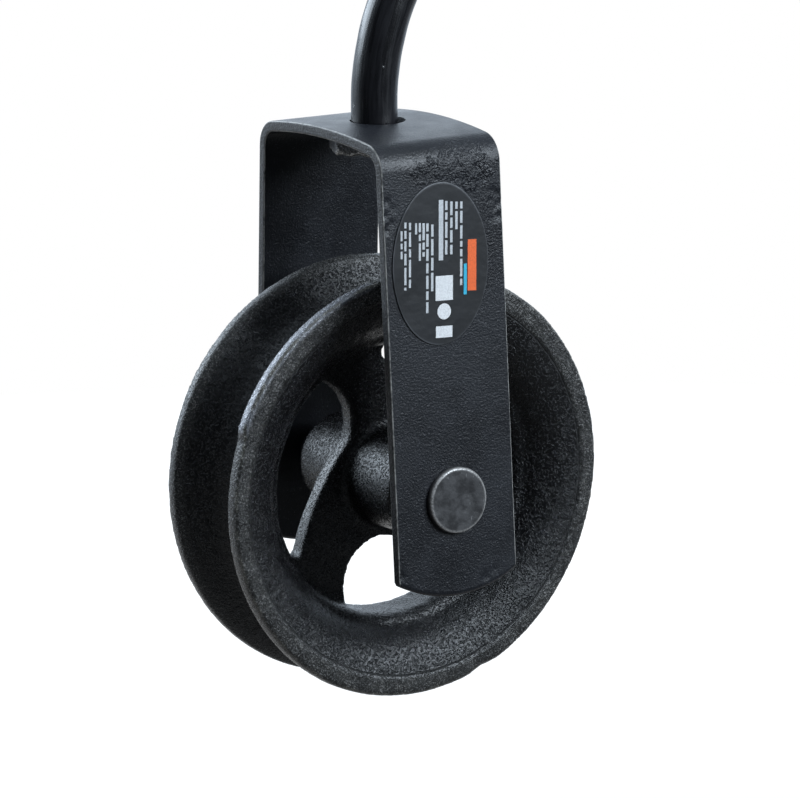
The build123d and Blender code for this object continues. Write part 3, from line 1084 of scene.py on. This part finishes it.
yoke = new_piece("strap_yoke", strap_mesh)
drill(yoke, HOOK_HOLE, HOOK_DRILL, (0, 0, axle_height + YOKE_HEIGHT * MM), Matrix.Identity(4))
drill(yoke, PIN_HOLE, PIN_DRILL, (0, 0, axle_height), Matrix.Rotation(math.pi / 2, 4, "X"))
yoke.data.materials.clear()
yoke.data.materials.append(strap_paint)
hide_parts("yoke")
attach(yoke, "yoke")
tell_triangles(yoke)

# %% [markdown]
# The hook is one bent round bar. A bar is a circle carried along a path, and the path is a
# string of points from the CAD source's line and two arcs. Each point carries its girth, which
# is full size all along and shrinks over the last millimetres to round the tip.

# %% The path of the rod
ROD_RADIUS = 5.4
SHANK_OFFSET = -0.8
CROWN_SAG = 0.4
ROD_IN_HEAD = 2
BEND_START = YOKE_HEIGHT + 3.4
SWEEP_RADIUS = 57.6
LOOP_RADIUS = 31.0
HOOK_END = math.radians(190)
TIP_ROUND = 3.0
TIP_MARGIN = 0.1
ROD_STEP = 0.7
loop_centre = -axle_height / MM - LOOP_RADIUS + ROD_RADIUS
swing = math.atan2(loop_centre - BEND_START, SWEEP_RADIUS + SHANK_OFFSET)


def arc(centre, radius, start, end):
    """Points along an arc in the hook's plane, about one step apart."""
    count = round(radius * abs(end - start) / ROD_STEP)
    turns = np.linspace(start, end, count + 1)
    return np.stack([centre[0] + radius * np.cos(turns), centre[1] + radius * np.sin(turns)], axis=1)


def rod_line():
    """Places in X and Z above the axle along the rod."""
    head_top = YOKE_HEIGHT - STRAP_THICKNESS - CROWN_SAG
    heights = np.arange(head_top - ROD_IN_HEAD, BEND_START - 0.3, ROD_STEP)
    shank = np.array([(SHANK_OFFSET, z) for z in heights])
    sweep = arc((SHANK_OFFSET + SWEEP_RADIUS, BEND_START), SWEEP_RADIUS, math.pi, math.pi - swing)
    loop = arc((0, loop_centre), LOOP_RADIUS, -swing, HOOK_END)[1:]
    return np.concatenate([shank, sweep, loop])


def round_tip(line):
    """The line with closer points at its tip, and the girth at each point."""
    lengths = np.concatenate([[0], np.cumsum(np.hypot(*np.diff(line, axis=0).T))])
    keep = lengths[-1] - lengths > TIP_ROUND + TIP_MARGIN
    to_tip = (TIP_ROUND * (1 - np.cos(np.linspace(0, math.pi / 2, 9))))[::-1]
    tip = [[np.interp(lengths[-1] - gap, lengths, column) for gap in to_tip] for column in line.T]
    inset = TIP_ROUND - np.sqrt(np.maximum(TIP_ROUND ** 2 - (TIP_ROUND - to_tip) ** 2, 0))
    girth = np.concatenate([np.ones(keep.sum()), 1 - inset / ROD_RADIUS])
    return np.concatenate([line[keep], np.array(tip).T]), girth


def rod_mesh():
    """The path as a mesh of edges that carries its girth."""
    line, girth = round_tip(rod_line())
    mesh = bpy.data.meshes.new("rod_path")
    points = [(x * MM, 0, z * MM + axle_height) for x, z in line]
    mesh.from_pydata(points, [(place, place + 1) for place in range(len(points) - 1)], [])
    mark(mesh, "girth", girth)
    print("the rod's path has", len(points), "points")
    return mesh


rod = new_piece("hook_rod", rod_mesh())

# %% [markdown]
# Curve to Mesh carries the circle along the path in a Geometry Nodes tree, and slow waves in the
# bar's skin come from the forge. The tree also stores how far each point lies along the bar and
# round it, so that the finish can follow the bends.

# %% Carry a circle along the path
BAR_SIDES = 56


def rod_tree():
    """A round bar along a path of edges, with slow waves and marks along and around it."""
    sizes = {"Rod Radius": ROD_RADIUS * MM, "Wave Size": 9 * MM, "Wave Depth": 0.06 * MM}
    tree, given = start_shape_tree("bent_rod", sizes)
    girth = carried(tree, "girth")
    line = add(tree, "GeometryNodeMeshToCurve", {"Mesh": given["Geometry"]}).outputs[0]
    along = add(tree, "GeometryNodeSplineParameter").outputs["Length"]
    line = stored(tree, line, "along", along)
    inputs = {"Resolution": BAR_SIDES, "Radius": given["Rod Radius"]}
    circle = add(tree, "GeometryNodeCurvePrimitiveCircle", inputs).outputs[0]
    around = add(tree, "GeometryNodeSplineParameter").outputs["Factor"]
    ring = stored(tree, circle, "around", around)
    inputs = {"Curve": line, "Profile Curve": ring, "Scale": girth, "Fill Caps": True}
    bar = add(tree, "GeometryNodeCurveToMesh", inputs).outputs[0]
    waves = lumps(tree, given["Wave Size"], 2.0)[1]
    sunk = reckon(tree, "MULTIPLY", reckon(tree, "SUBTRACT", waves, 1.0), given["Wave Depth"])
    moved = pushed_out(tree, bar, sunk)
    smooth = add(tree, "GeometryNodeSetShadeSmooth", {"Geometry": moved}).outputs[0]
    end_shape_tree(tree, smooth, given)
    return tree


bar_tree = rod_tree()

# %% [markdown]
# The rod's paint is half-gloss, so it shows long soft highlights with faint streaks that run
# along the bar. Streaks drawn straight through space would cross the bends, so they are laid out
# by the marks along and around the bar. Knocks have chipped the paint: small pale nicks, most of
# them low on the rod, where the real one shows them, and a few more up the loop.

# %% The finish of the rod
CHIPS = [
    # across, depth and height above the axle, and size, in millimetres
    (-6.1, 0.5, 87.0, 0.55), (2.9, -4.0, 89.2, 0.45), (-4.4, -4.0, 108.6, 0.5), (-1.4, -5.3, 96.0, 0.25),
    (3.6, -3.2, 99.5, 0.3), (10.5, -4.6, 128.0, 0.4), (22.0, -5.0, 158.0, 0.5), (-20.0, 4.8, 172.0, 0.5),
]
ROD_DARK, ROD_LIGHT = (0.0035, 0.0035, 0.0045, 1), (0.008, 0.008, 0.010, 1)
CHIP_PALE = (0.30, 0.30, 0.30, 1)
STREAK_PULL = 0.08


def chip_mask(tree, place):
    """One inside any chip of the rod, with ragged borders."""
    ragged = mottle(tree, place, 0.5 * MM, 2.0, 0.6)
    total = None
    for x, y, z, size in CHIPS:
        centre = (x * MM, y * MM, z * MM + axle_height)
        gap = add(tree, "ShaderNodeVectorMath", {0: place, 1: centre}, operation="DISTANCE").outputs["Value"]
        near = grade(tree, reckon(tree, "DIVIDE", gap, size * MM), 0.8, 1.6, 1.0, 0.0)
        total = near if total is None else reckon(tree, "MAXIMUM", total, near)
    return grade(tree, reckon(tree, "MULTIPLY", total, ragged), 0.42, 0.5)


def rod_finish():
    """Half-gloss black paint with streaks along the bar and small chips."""
    material, tree, shader, place = start_finish("rod_gloss_paint")
    turn = reckon(tree, "MULTIPLY", marked(tree, "around"), 2 * math.pi)
    side = reckon(tree, "MULTIPLY", reckon(tree, "COSINE", turn), ROD_RADIUS * MM)
    front = reckon(tree, "MULTIPLY", reckon(tree, "SINE", turn), ROD_RADIUS * MM)
    slow = reckon(tree, "MULTIPLY", marked(tree, "along"), STREAK_PULL)
    streaked = add(tree, "ShaderNodeCombineXYZ", {0: side, 1: front, 2: slow}).outputs[0]
    streaks = mottle(tree, streaked, 0.9 * MM, 3.0, 0.6)
    skin = mottle(tree, place, 0.5 * MM, 2.0, 0.5)
    chips = chip_mask(tree, place)
    paint = blend(tree, grade(tree, streaks, 0.35, 0.7), ROD_DARK, ROD_LIGHT)
    tree.links.new(blend(tree, chips, paint, CHIP_PALE), shader.inputs["Base Color"])
    tree.links.new(grade(tree, streaks, 0.3, 0.7, 0.24, 0.36), shader.inputs["Roughness"])
    relief(tree, shader, (streaks, 0.06 * MM), (skin, 0.015 * MM), (chips, -0.1 * MM))
    tell_nodes(material.name, tree)
    return material


shape_with(rod, bar_tree, rod_finish())

# %% [markdown]
# Forms that are turned or stamped are rings of points: a profile of radius and height carried
# round an outline. The label and both ends of the pin are such forms, and so is the rod's head,
# whose outline has many sides. One helper makes them all, and hammering is added as noise.

# %% Rings round an outline
RING_GAP = 0.35


def turned(profile, outline=None, count=96):
    """Points and faces of a closed form from (radius, height) pairs, lowest first."""
    turns = np.linspace(0, 2 * math.pi, count, endpoint=False)
    reach = np.ones(count) if outline is None else outline(turns)
    rings = [np.stack([r * reach * np.cos(turns), r * reach * np.sin(turns), np.full(count, h)], axis=1)
             for r, h in profile]
    bottom, top = np.array([(0, 0, profile[0][1])]), np.array([(0, 0, profile[-1][1])])
    points = np.concatenate([bottom] + rings + [top])
    last = len(points) - 1
    faces = []
    for place in range(count):
        after = (place + 1) % count
        faces.append((0, 1 + after, 1 + place))
        for ring in range(len(profile) - 1):
            a = 1 + ring * count
            faces.append((a + place, a + after, a + count + after, a + count + place))
        a = 1 + (len(profile) - 1) * count
        faces.append((a + place, a + after, last))
    return points, faces


def hammered(points, size, depth, weight):
    """Shift points up and down by slow noise, as a hammer leaves a surface."""
    shifts = np.array([noise.noise(Vector(point) / size) for point in points])
    moved = points.copy()
    moved[:, 2] += shifts * depth * weight
    return moved


def face_rings(radius, height):
    """Rings that fill a flat round face from its rim inwards."""
    count = max(2, round(radius / RING_GAP))
    return [(r, height) for r in np.linspace(radius, radius / count, count)]


def round_over(radius, height, size, count):
    """Rings that round a top edge."""
    return [(radius - size * (1 - math.cos(a)), height - size * (1 - math.sin(a)))
            for a in np.linspace(0, math.pi / 2, count)]


print("ring helpers are ready: turned, hammered, face_rings, round_over")

# %% [markdown]
# Below the strap the rod was hammered into a rough head with seven worn corners, which carries
# the load. A cube could be sculpted into it, but the ring helper with a many-sided outline gives
# its flat sides at once. Its lower face is hammered most, and the bruises there are marked so
# that the paint can be broken off them.

# %% The hammered head of the rod
HEAD_CORNERS = np.radians([24, 80, 137, 182, 234, 285, 334])
HEAD_CORNER_RADIUS = 10.8
HEAD_HEIGHT = 4.0
CORNER_WORN = 0.985
SEAT_GAP = 0.02


def head_outline(turns):
    """Reach of the many-sided head at each turn, its corners a little worn."""
    reach = []
    for turn in turns:
        gaps = (turn - HEAD_CORNERS) % (2 * math.pi)
        before = int(np.argmin(gaps))
        start, end = HEAD_CORNERS[before], HEAD_CORNERS[(before + 1) % len(HEAD_CORNERS)]
        half = ((end - start) % (2 * math.pi)) / 2
        reach.append(min(math.cos(half) / math.cos(gaps[before] - half), CORNER_WORN))
    return np.array(reach)


def head_profile():
    """The head's rings from the middle of its lower face to its top."""
    r, low = HEAD_CORNER_RADIUS, -HEAD_HEIGHT
    lower = face_rings(r - 0.7, low)[::-1]
    foot = [(r - 0.4, low + 0.1), (r - 0.1, low + 0.4)]
    sides = [(r, h) for h in np.linspace(low + 0.8, -0.3, 6)]
    return lower + foot + sides + [(r - 0.15, -0.05), (r - 0.6, 0), (r * 0.6, 0), (r * 0.3, 0)]


def head_form():
    """The upset head under the yoke, hammered on its lower face."""
    sag = CROWN_RADIUS - STRAP_THICKNESS
    drop = sag - math.sqrt(sag ** 2 - HEAD_CORNER_RADIUS ** 2)
    top = YOKE_HEIGHT - STRAP_THICKNESS - drop - SEAT_GAP
    points, faces = turned(head_profile(), head_outline, 112)
    weight = np.clip(-points[:, 2] / HEAD_HEIGHT, 0, 1) ** 2
    points = hammered(points, 2.2, 0.5, weight)
    dents = np.array([noise.noise(Vector(point) / 1.6) for point in points]) * weight
    scale = 1 - 0.02 * np.maximum(dents, 0) - 0.012 * np.abs(dents)
    points[:, :2] *= scale[:, None]
    bare = np.clip(weight * 1.3 - 0.25, 0, 1)
    points = (points + np.array((SHANK_OFFSET, 0, top))) * MM + AXLE
    return points, faces, bare


head_points, head_faces, head_bare = head_form()
head = new_piece("hook_head", mesh_from("hook_head", head_points, head_faces))
mark(head.data, "bare", head_bare)
tell_triangles(head)

# %% [markdown]
# Paint sticks badly to a hammered face, so the head is part black and part bright steel. The
# border between them follows a coarse noise, moved by the mark of the bruises, which looks
# broken off where two plain noises would look cloudy. Rod and head are one forging in the CAD
# model, and together they stand in for it.

# %% Finish the head and the hook
HEAD_PAINT = (0.012, 0.012, 0.013, 1)
STEEL_DARK, STEEL_BRIGHT = (0.10, 0.10, 0.10, 1), (0.45, 0.44, 0.42, 1)


def head_finish():
    """Black paint broken off a hammered steel head, bright along its lower edge."""
    material, tree, shader, place = start_finish("head_chipped_steel")
    coarse = mottle(tree, place, 1.6 * MM, 3.0, 0.65)
    fine = mottle(tree, place, 0.4 * MM, 2.0, 0.6)
    bare = reckon(tree, "MULTIPLY_ADD", marked(tree, "bare"), 0.45, coarse)
    chipped = grade(tree, bare, 0.68, 0.82)
    steel = blend(tree, grade(tree, fine, 0.4, 0.7), STEEL_DARK, STEEL_BRIGHT)
    tree.links.new(blend(tree, chipped, HEAD_PAINT, steel), shader.inputs["Base Color"])
    tree.links.new(reckon(tree, "MULTIPLY", chipped, 0.7), shader.inputs["Metallic"])
    tree.links.new(grade(tree, fine, 0.3, 0.7, 0.32, 0.5), shader.inputs["Roughness"])
    relief(tree, shader, (coarse, 0.25 * MM), (fine, 0.08 * MM))
    tell_nodes(material.name, tree)
    return material


head.data.materials.append(head_finish())
for piece in (rod, head):
    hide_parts("swivel_hook")
    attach(piece, "hook")

# %% [markdown]
# The pin has a flat head at the labelled leg, and its far end was hammered over to a low dome,
# which shows facets. Both ends sit flat on a splayed leg, so they are made in the leg's own
# frame: across the leg, up the leg and out from its face.

# %% The head, the rivet and the shank of the pin
PIN_RADIUS = 5.0
# radius, height and rounding of each end
PIN_HEAD = (7.6, 1.598, 0.7)
RIVET_HEAD = (7.4, 2.37, 1.9)
FACE_MARGIN = 0.2


def on_leg(points, side=-1):
    """Turn places across, up and out from a leg's face into places in metres."""
    splay = math.atan(LEG_SPLAY)
    across, up, out = np.asarray(points, dtype=float).T
    y = side * (LEG_HALF_SPREAD - up * math.sin(splay) + out * math.cos(splay))
    z = up * math.cos(splay) + out * math.sin(splay)
    return np.stack([across, y, z], axis=1) * MM + AXLE


def pin_head_form():
    """The flat head on the labelled leg, with a few dents in its face."""
    radius, height, edge = PIN_HEAD
    side = [(radius * 0.5, 0), (radius, 0), (radius, (height - edge) * 0.5)]
    face = face_rings(radius - edge - FACE_MARGIN, height)
    points, faces = turned(side + round_over(radius, height, edge, 7) + face, count=112)
    on_face = points[:, 2] > height - 0.02
    points = hammered(points, 2.6, 0.10, on_face)
    points = hammered(points, 0.9, 0.035, on_face)
    points[:, 2] = np.minimum(points[:, 2], height)
    radial = np.hypot(points[:, 0], points[:, 1])
    # a ring round the head's edge, rubbed bright and carrying a painted highlight
    rim = np.exp(-((radial - (radius - edge * 0.45)) / 0.28) ** 2) * (points[:, 2] > height * 0.5)
    return on_leg(points), faces, rim


def rivet_form():
    """The hammered dome on the far leg."""
    radius, height, edge = RIVET_HEAD
    profile = [(radius * 0.5, 0), (radius, 0)] + round_over(radius, height, edge, 9)
    profile += face_rings(radius - edge - FACE_MARGIN, height)
    points, faces = turned(profile)
    points = hammered(points, 2.4, 0.35, np.clip(points[:, 2] / height, 0, 1))
    points[:, 2] = np.minimum(points[:, 2], height)
    return on_leg(points, 1), faces


def shank_form():
    """The plain shank between the two ends."""
    places = np.linspace(-LEG_HALF_SPREAD, LEG_HALF_SPREAD, 20)
    near_end = [(r, -LEG_HALF_SPREAD) for r in (1, 3)]
    far_end = [(r, LEG_HALF_SPREAD) for r in (3, 1)]
    points, faces = turned(near_end + [(PIN_RADIUS, y) for y in places] + far_end, count=72)
    return points[:, [0, 2, 1]] * MM + AXLE, faces


def join_forms(name, forms):
    """One mesh from several lists of points in metres and faces."""
    points, faces = [], []
    for form_points, form_faces in forms:
        start = sum(len(part) for part in points)
        points.append(form_points)
        faces += [tuple(start + place for place in face) for face in form_faces]
    return mesh_from(name, np.concatenate(points), faces)


pin_points, pin_faces, pin_rim = pin_head_form()
forms = [(pin_points, pin_faces), rivet_form(), shank_form()]
pin = new_piece("headed_pin", join_forms("headed_pin", forms))
rims = np.zeros(len(pin.data.vertices))
rims[:len(pin_rim)] = pin_rim
mark(pin.data, "rim", rims)
tell_triangles(pin)

# %% [markdown]
# The pin is dark oiled steel, smudged, finely scratched one way, and bright round the edge of
# its head, partly rubbed and partly a painted highlight. Scratches are noise pulled out in one
# direction by a Mapping node. A picture of scratches would do as well, but noise needs no file
# and never repeats.

# %% Finish the pin
PIN_DARK, PIN_LIGHT = (0.020, 0.020, 0.021, 1), (0.045, 0.045, 0.047, 1)
SCRATCH_PALE = (0.25, 0.25, 0.25, 1)
# the bright edge colour is partly rubbed steel and partly a painted highlight
PIN_RIM_RUB_AND_HIGHLIGHT = (0.42, 0.41, 0.40, 1)
SCRATCH_TURN = (0, math.radians(35), 0)
SCRATCH_PULL = (1, 1, 0.1)


def pin_finish():
    """Dark steel with smudges, fine scratches and a bright edge, partly rubbed and partly a painted
    highlight.
    """
    material, tree, shader, place = start_finish("pin_dark_steel")
    inputs = {"Vector": place, "Rotation": SCRATCH_TURN, "Scale": SCRATCH_PULL}
    stretched = add(tree, "ShaderNodeMapping", inputs).outputs[0]
    scratches = mottle(tree, stretched, 0.22 * MM, 1.0, 0.5)
    cloud = mottle(tree, place, 3.2 * MM, 4.0, 0.6)
    fine = mottle(tree, place, 0.5 * MM, 2.0, 0.6)
    lines = reckon(tree, "MULTIPLY", grade(tree, scratches, 0.7, 0.78), grade(tree, cloud, 0.45, 0.6))
    steel = blend(tree, grade(tree, cloud, 0.35, 0.65), PIN_DARK, PIN_LIGHT)
    steel = blend(tree, lines, steel, SCRATCH_PALE)
    rim = reckon(tree, "MULTIPLY", marked(tree, "rim"), grade(tree, fine, 0.3, 0.6, 0.35, 1.0))
    # the head's edge: partly rubbed bright, partly a painted highlight
    tree.links.new(blend(tree, rim, steel, PIN_RIM_RUB_AND_HIGHLIGHT), shader.inputs["Base Color"])
    tree.links.new(reckon(tree, "MULTIPLY", rim, 0.6), shader.inputs["Metallic"])
    tree.links.new(grade(tree, cloud, 0.3, 0.7, 0.34, 0.5), shader.inputs["Roughness"])
    relief(tree, shader, (cloud, 0.15 * MM), (fine, 0.03 * MM), (lines, -0.03 * MM))
    tell_nodes(material.name, tree)
    return material


pin.data.materials.append(pin_finish())
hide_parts("axle_pin")
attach(pin, "yoke")

# %% [markdown]
# The label is an oval of dark vinyl, thick enough that its cut edge catches the light, and a
# fine pale line of painted highlight is laid along that edge. It could be a patch of colour in
# the strap's paint, but then it would have no edge. So it is a thin turned form, stretched to an
# oval and laid on the leg a little askew.

# %% Make the label
LABEL_HALF = (12.7, 18.4)
LABEL_THICKNESS = 0.3
LABEL_PLACE = (-1.4, 54.2)
LABEL_TILT = math.radians(3)
RIM_INSET, RIM_DROP = 0.010, 0.12
LABEL_DARK, LABEL_LIGHT = (0.006, 0.0068, 0.008, 1), (0.010, 0.011, 0.013, 1)
# a pale rim colour that paints a highlight along the cut edge
LABEL_RIM_HIGHLIGHT = (0.08, 0.083, 0.09, 1)


def on_label(points):
    """Turn places in the label's own frame into places in metres on the leg."""
    x, up, out = np.asarray(points, dtype=float).T
    across = x * math.cos(LABEL_TILT) + up * math.sin(LABEL_TILT) + LABEL_PLACE[0]
    height = up * math.cos(LABEL_TILT) - x * math.sin(LABEL_TILT) + LABEL_PLACE[1]
    return on_leg(np.stack([across, height, out], axis=1))


def label_form():
    """An oval sheet with a rounded rim, and how far each point lies in that rim."""
    edge = [(1.0 - RIM_INSET * (1 - math.cos(a)), LABEL_THICKNESS - RIM_DROP * (1 - math.sin(a)))
            for a in np.linspace(0, math.pi / 2, 5)]
    profile = [(0.5, 0), (1.0, 0)] + edge + [(r, LABEL_THICKNESS) for r in np.linspace(0.97, 0.05, 24)]
    points, faces = turned(profile, count=160)
    points[:, 0] *= LABEL_HALF[0]
    points[:, 1] *= LABEL_HALF[1]
    radial = np.hypot(points[:, 0] / LABEL_HALF[0], points[:, 1] / LABEL_HALF[1])
    return on_label(points), faces, np.clip((radial - 0.984) / 0.008, 0, 1)


def label_finish():
    """Dark satin vinyl with a painted highlight along its cut edge."""
    material, tree, shader, place = start_finish("label_vinyl")
    grain = mottle(tree, place, 0.35 * MM, 2.0, 0.5)
    cloud = mottle(tree, place, 9 * MM, 3.0, 0.6)
    dark = blend(tree, grade(tree, cloud, 0.3, 0.7), LABEL_DARK, LABEL_LIGHT)
    rim = reckon(tree, "MULTIPLY", marked(tree, "rim"), grade(tree, cloud, 0.35, 0.6, 0.3, 0.9))
    # painted highlight along the cut edge
    tree.links.new(blend(tree, rim, dark, LABEL_RIM_HIGHLIGHT), shader.inputs["Base Color"])
    shader.inputs["Roughness"].default_value = 0.42
    shader.inputs["Specular IOR Level"].default_value = 0.45
    relief(tree, shader, (grain, 0.012 * MM), (cloud, 0.25 * MM))
    tell_nodes(material.name, tree)
    return material


label_points, label_faces, label_rim = label_form()
label = new_piece("oval_vinyl", mesh_from("oval_vinyl", label_points, label_faces))
mark(label.data, "rim", label_rim)
label.data.materials.append(label_finish())
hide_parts("oval_label")
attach(label, "yoke")
tell_triangles(label)

# %% [markdown]
# The label carries plain fields of colour: an orange bar, a thin blue one, rows of pale dashes
# and a few white shapes. They are thin raised pieces, because print on such a label has a clean
# edge, which a mask in a material loses when it is baked into a picture. First each field gets a
# point at its middle, which carries its width and its height.

# %% Lay out the fields of the label
DASH_ROWS = [
    # place across, top, bottom and width of a row, in millimetres
    (5.4, 13.8, -6.0, 0.62), (4.1, 13.8, 6.7, 0.62), (2.75, 13.9, 2.0, 0.62), (1.4, 14.1, 1.5, 0.62),
    (-2.3, 9.0, -6.2, 0.62), (-3.6, 9.3, -10.9, 0.62), (-4.6, 9.4, 1.9, 0.62), (-5.6, 9.5, 0.2, 0.55),
    (-6.6, 9.5, 7.0, 0.5), (-8.2, 9.7, -5.5, 0.55), (-9.4, 9.8, -5.4, 0.55), (-10.4, 7.9, 1.0, 0.5),
]
DASH_SHORTEST, DASH_LONGEST = 1.2, 4.2
DASH_GAP = 0.55
DASH_LEAST = 0.5
# place across, place up, width and height of each field, in millimetres
PALE_BLOCKS = [(0.0, 7.6, 1.2, 13.6)]
WHITE_BLOCKS = [(0.9, -5.5, 4.6, 5.6), (0.9, -15.4, 4.4, 2.6)]
WHITE_DISCS = [(0.9, -10.8, 3.6, 3.6)]
ORANGE_BLOCKS = [(8.3, -0.7, 2.3, 11.6)]
BLUE_BLOCKS = [(6.5, -3.8, 0.8, 7.0)]


def dashes():
    """Blocks for the rows: each row is cut into dashes of mixed lengths, in a fixed order."""
    mixed = np.random.default_rng(11)
    blocks = []
    for across, top, bottom, width in DASH_ROWS:
        place = top
        while place > bottom + DASH_LEAST:
            length = min(mixed.uniform(DASH_SHORTEST, DASH_LONGEST), place - bottom)
            blocks.append((across, place - length / 2, width, length))
            place -= length + DASH_GAP
    return blocks


def block_points(blocks):
    """A mesh of loose points on the label that carry the size of their block."""
    mesh = bpy.data.meshes.new("print_places")
    places = [(x, up, LABEL_THICKNESS) for x, up, _, _ in blocks]
    mesh.from_pydata([tuple(point) for point in on_label(places)], [], [])
    mark(mesh, "wide", [block[2] * MM for block in blocks])
    mark(mesh, "tall", [block[3] * MM for block in blocks])
    return mesh


dash_blocks = dashes()
print("the rows have", len(dash_blocks), "dashes")

# %% [markdown]
# A Geometry Nodes tree then stands one thin field on each point, turned to lie on the splayed leg
# and scaled by what the point carries. A cylinder with four sides is a block and one with many
# is a disc, so one function builds the tree for either.

# %% A thin raised field on each point
def euler(tree, x, y, z):
    """A rotation from three angles."""
    angles = add(tree, "ShaderNodeCombineXYZ", {0: x, 1: y, 2: z}).outputs[0]
    return add(tree, "FunctionNodeEulerToRotation", {0: angles}).outputs[0]


def print_tree(name, corners):
    """Four corners give a block, many give a disc, both of size one before they are scaled."""
    sizes = {"Film Thickness": 0.03 * MM, "Lean": math.atan(LEG_SPLAY), "Tilt": LABEL_TILT}
    tree, given = start_shape_tree(name, sizes)
    inputs = {"Vertices": corners, "Radius": math.sqrt(0.5) if corners == 4 else 0.5, "Depth": 2.0}
    field = add(tree, "GeometryNodeMeshCylinder", inputs).outputs[0]
    if corners == 4:
        inputs = {"Geometry": field, "Rotation": euler(tree, 0.0, 0.0, math.pi / 4)}
        field = add(tree, "GeometryNodeTransform", inputs).outputs[0]
    inputs = {0: carried(tree, "wide"), 1: carried(tree, "tall"), 2: given["Film Thickness"]}
    size = add(tree, "ShaderNodeCombineXYZ", inputs).outputs[0]
    stand = euler(tree, reckon(tree, "SUBTRACT", math.pi / 2, given["Lean"]), 0.0, 0.0)
    tilt = euler(tree, 0.0, 0.0, reckon(tree, "MULTIPLY", given["Tilt"], -1.0))
    inputs = {"Rotation": tilt, "Rotate By": stand}
    both = add(tree, "FunctionNodeRotateRotation", inputs, rotation_space="GLOBAL").outputs[0]
    inputs = {"Points": given["Geometry"], "Instance": field, "Rotation": both, "Scale": size}
    placed = add(tree, "GeometryNodeInstanceOnPoints", inputs).outputs[0]
    end_shape_tree(tree, placed, given)
    return tree


block_tree = print_tree("printed_blocks", 4)
disc_tree = print_tree("printed_discs", 48)

# %% [markdown]
# Printing ink is a flat colour, slightly uneven where it has soaked in or worn. One helper
# makes an ink from its colour, and each group of like fields is one piece on the label.

# %% Print the label
INK_WORN = 0.82
INK_ROUGHNESS = 0.45


def ink(name, colour):
    """Printing ink: a flat colour with faint grain."""
    material, tree, shader, place = start_finish(name)
    grain = mottle(tree, place, 0.3 * MM, 2.0, 0.5)
    thin = tuple(INK_WORN * part for part in colour[:3]) + (1,)
    tree.links.new(blend(tree, grade(tree, grain, 0.35, 0.6), thin, colour), shader.inputs["Base Color"])
    shader.inputs["Roughness"].default_value = INK_ROUGHNESS
    return material


white_ink = ink("ink_white", (0.70, 0.71, 0.72, 1))
prints = [
    ("print_pale", dash_blocks + PALE_BLOCKS, block_tree, ink("ink_pale", (0.50, 0.52, 0.54, 1))),
    ("print_white", WHITE_BLOCKS, block_tree, white_ink),
    ("print_discs", WHITE_DISCS, disc_tree, white_ink),
    ("print_orange", ORANGE_BLOCKS, block_tree, ink("ink_orange", (0.80, 0.13, 0.025, 1))),
    ("print_blue", BLUE_BLOCKS, block_tree, ink("ink_blue", (0.03, 0.42, 0.62, 1))),
]
for name, blocks, tree, finish in prints:
    field = new_piece(name, block_points(blocks))
    shape_with(field, tree, finish)
    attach(field, "yoke")
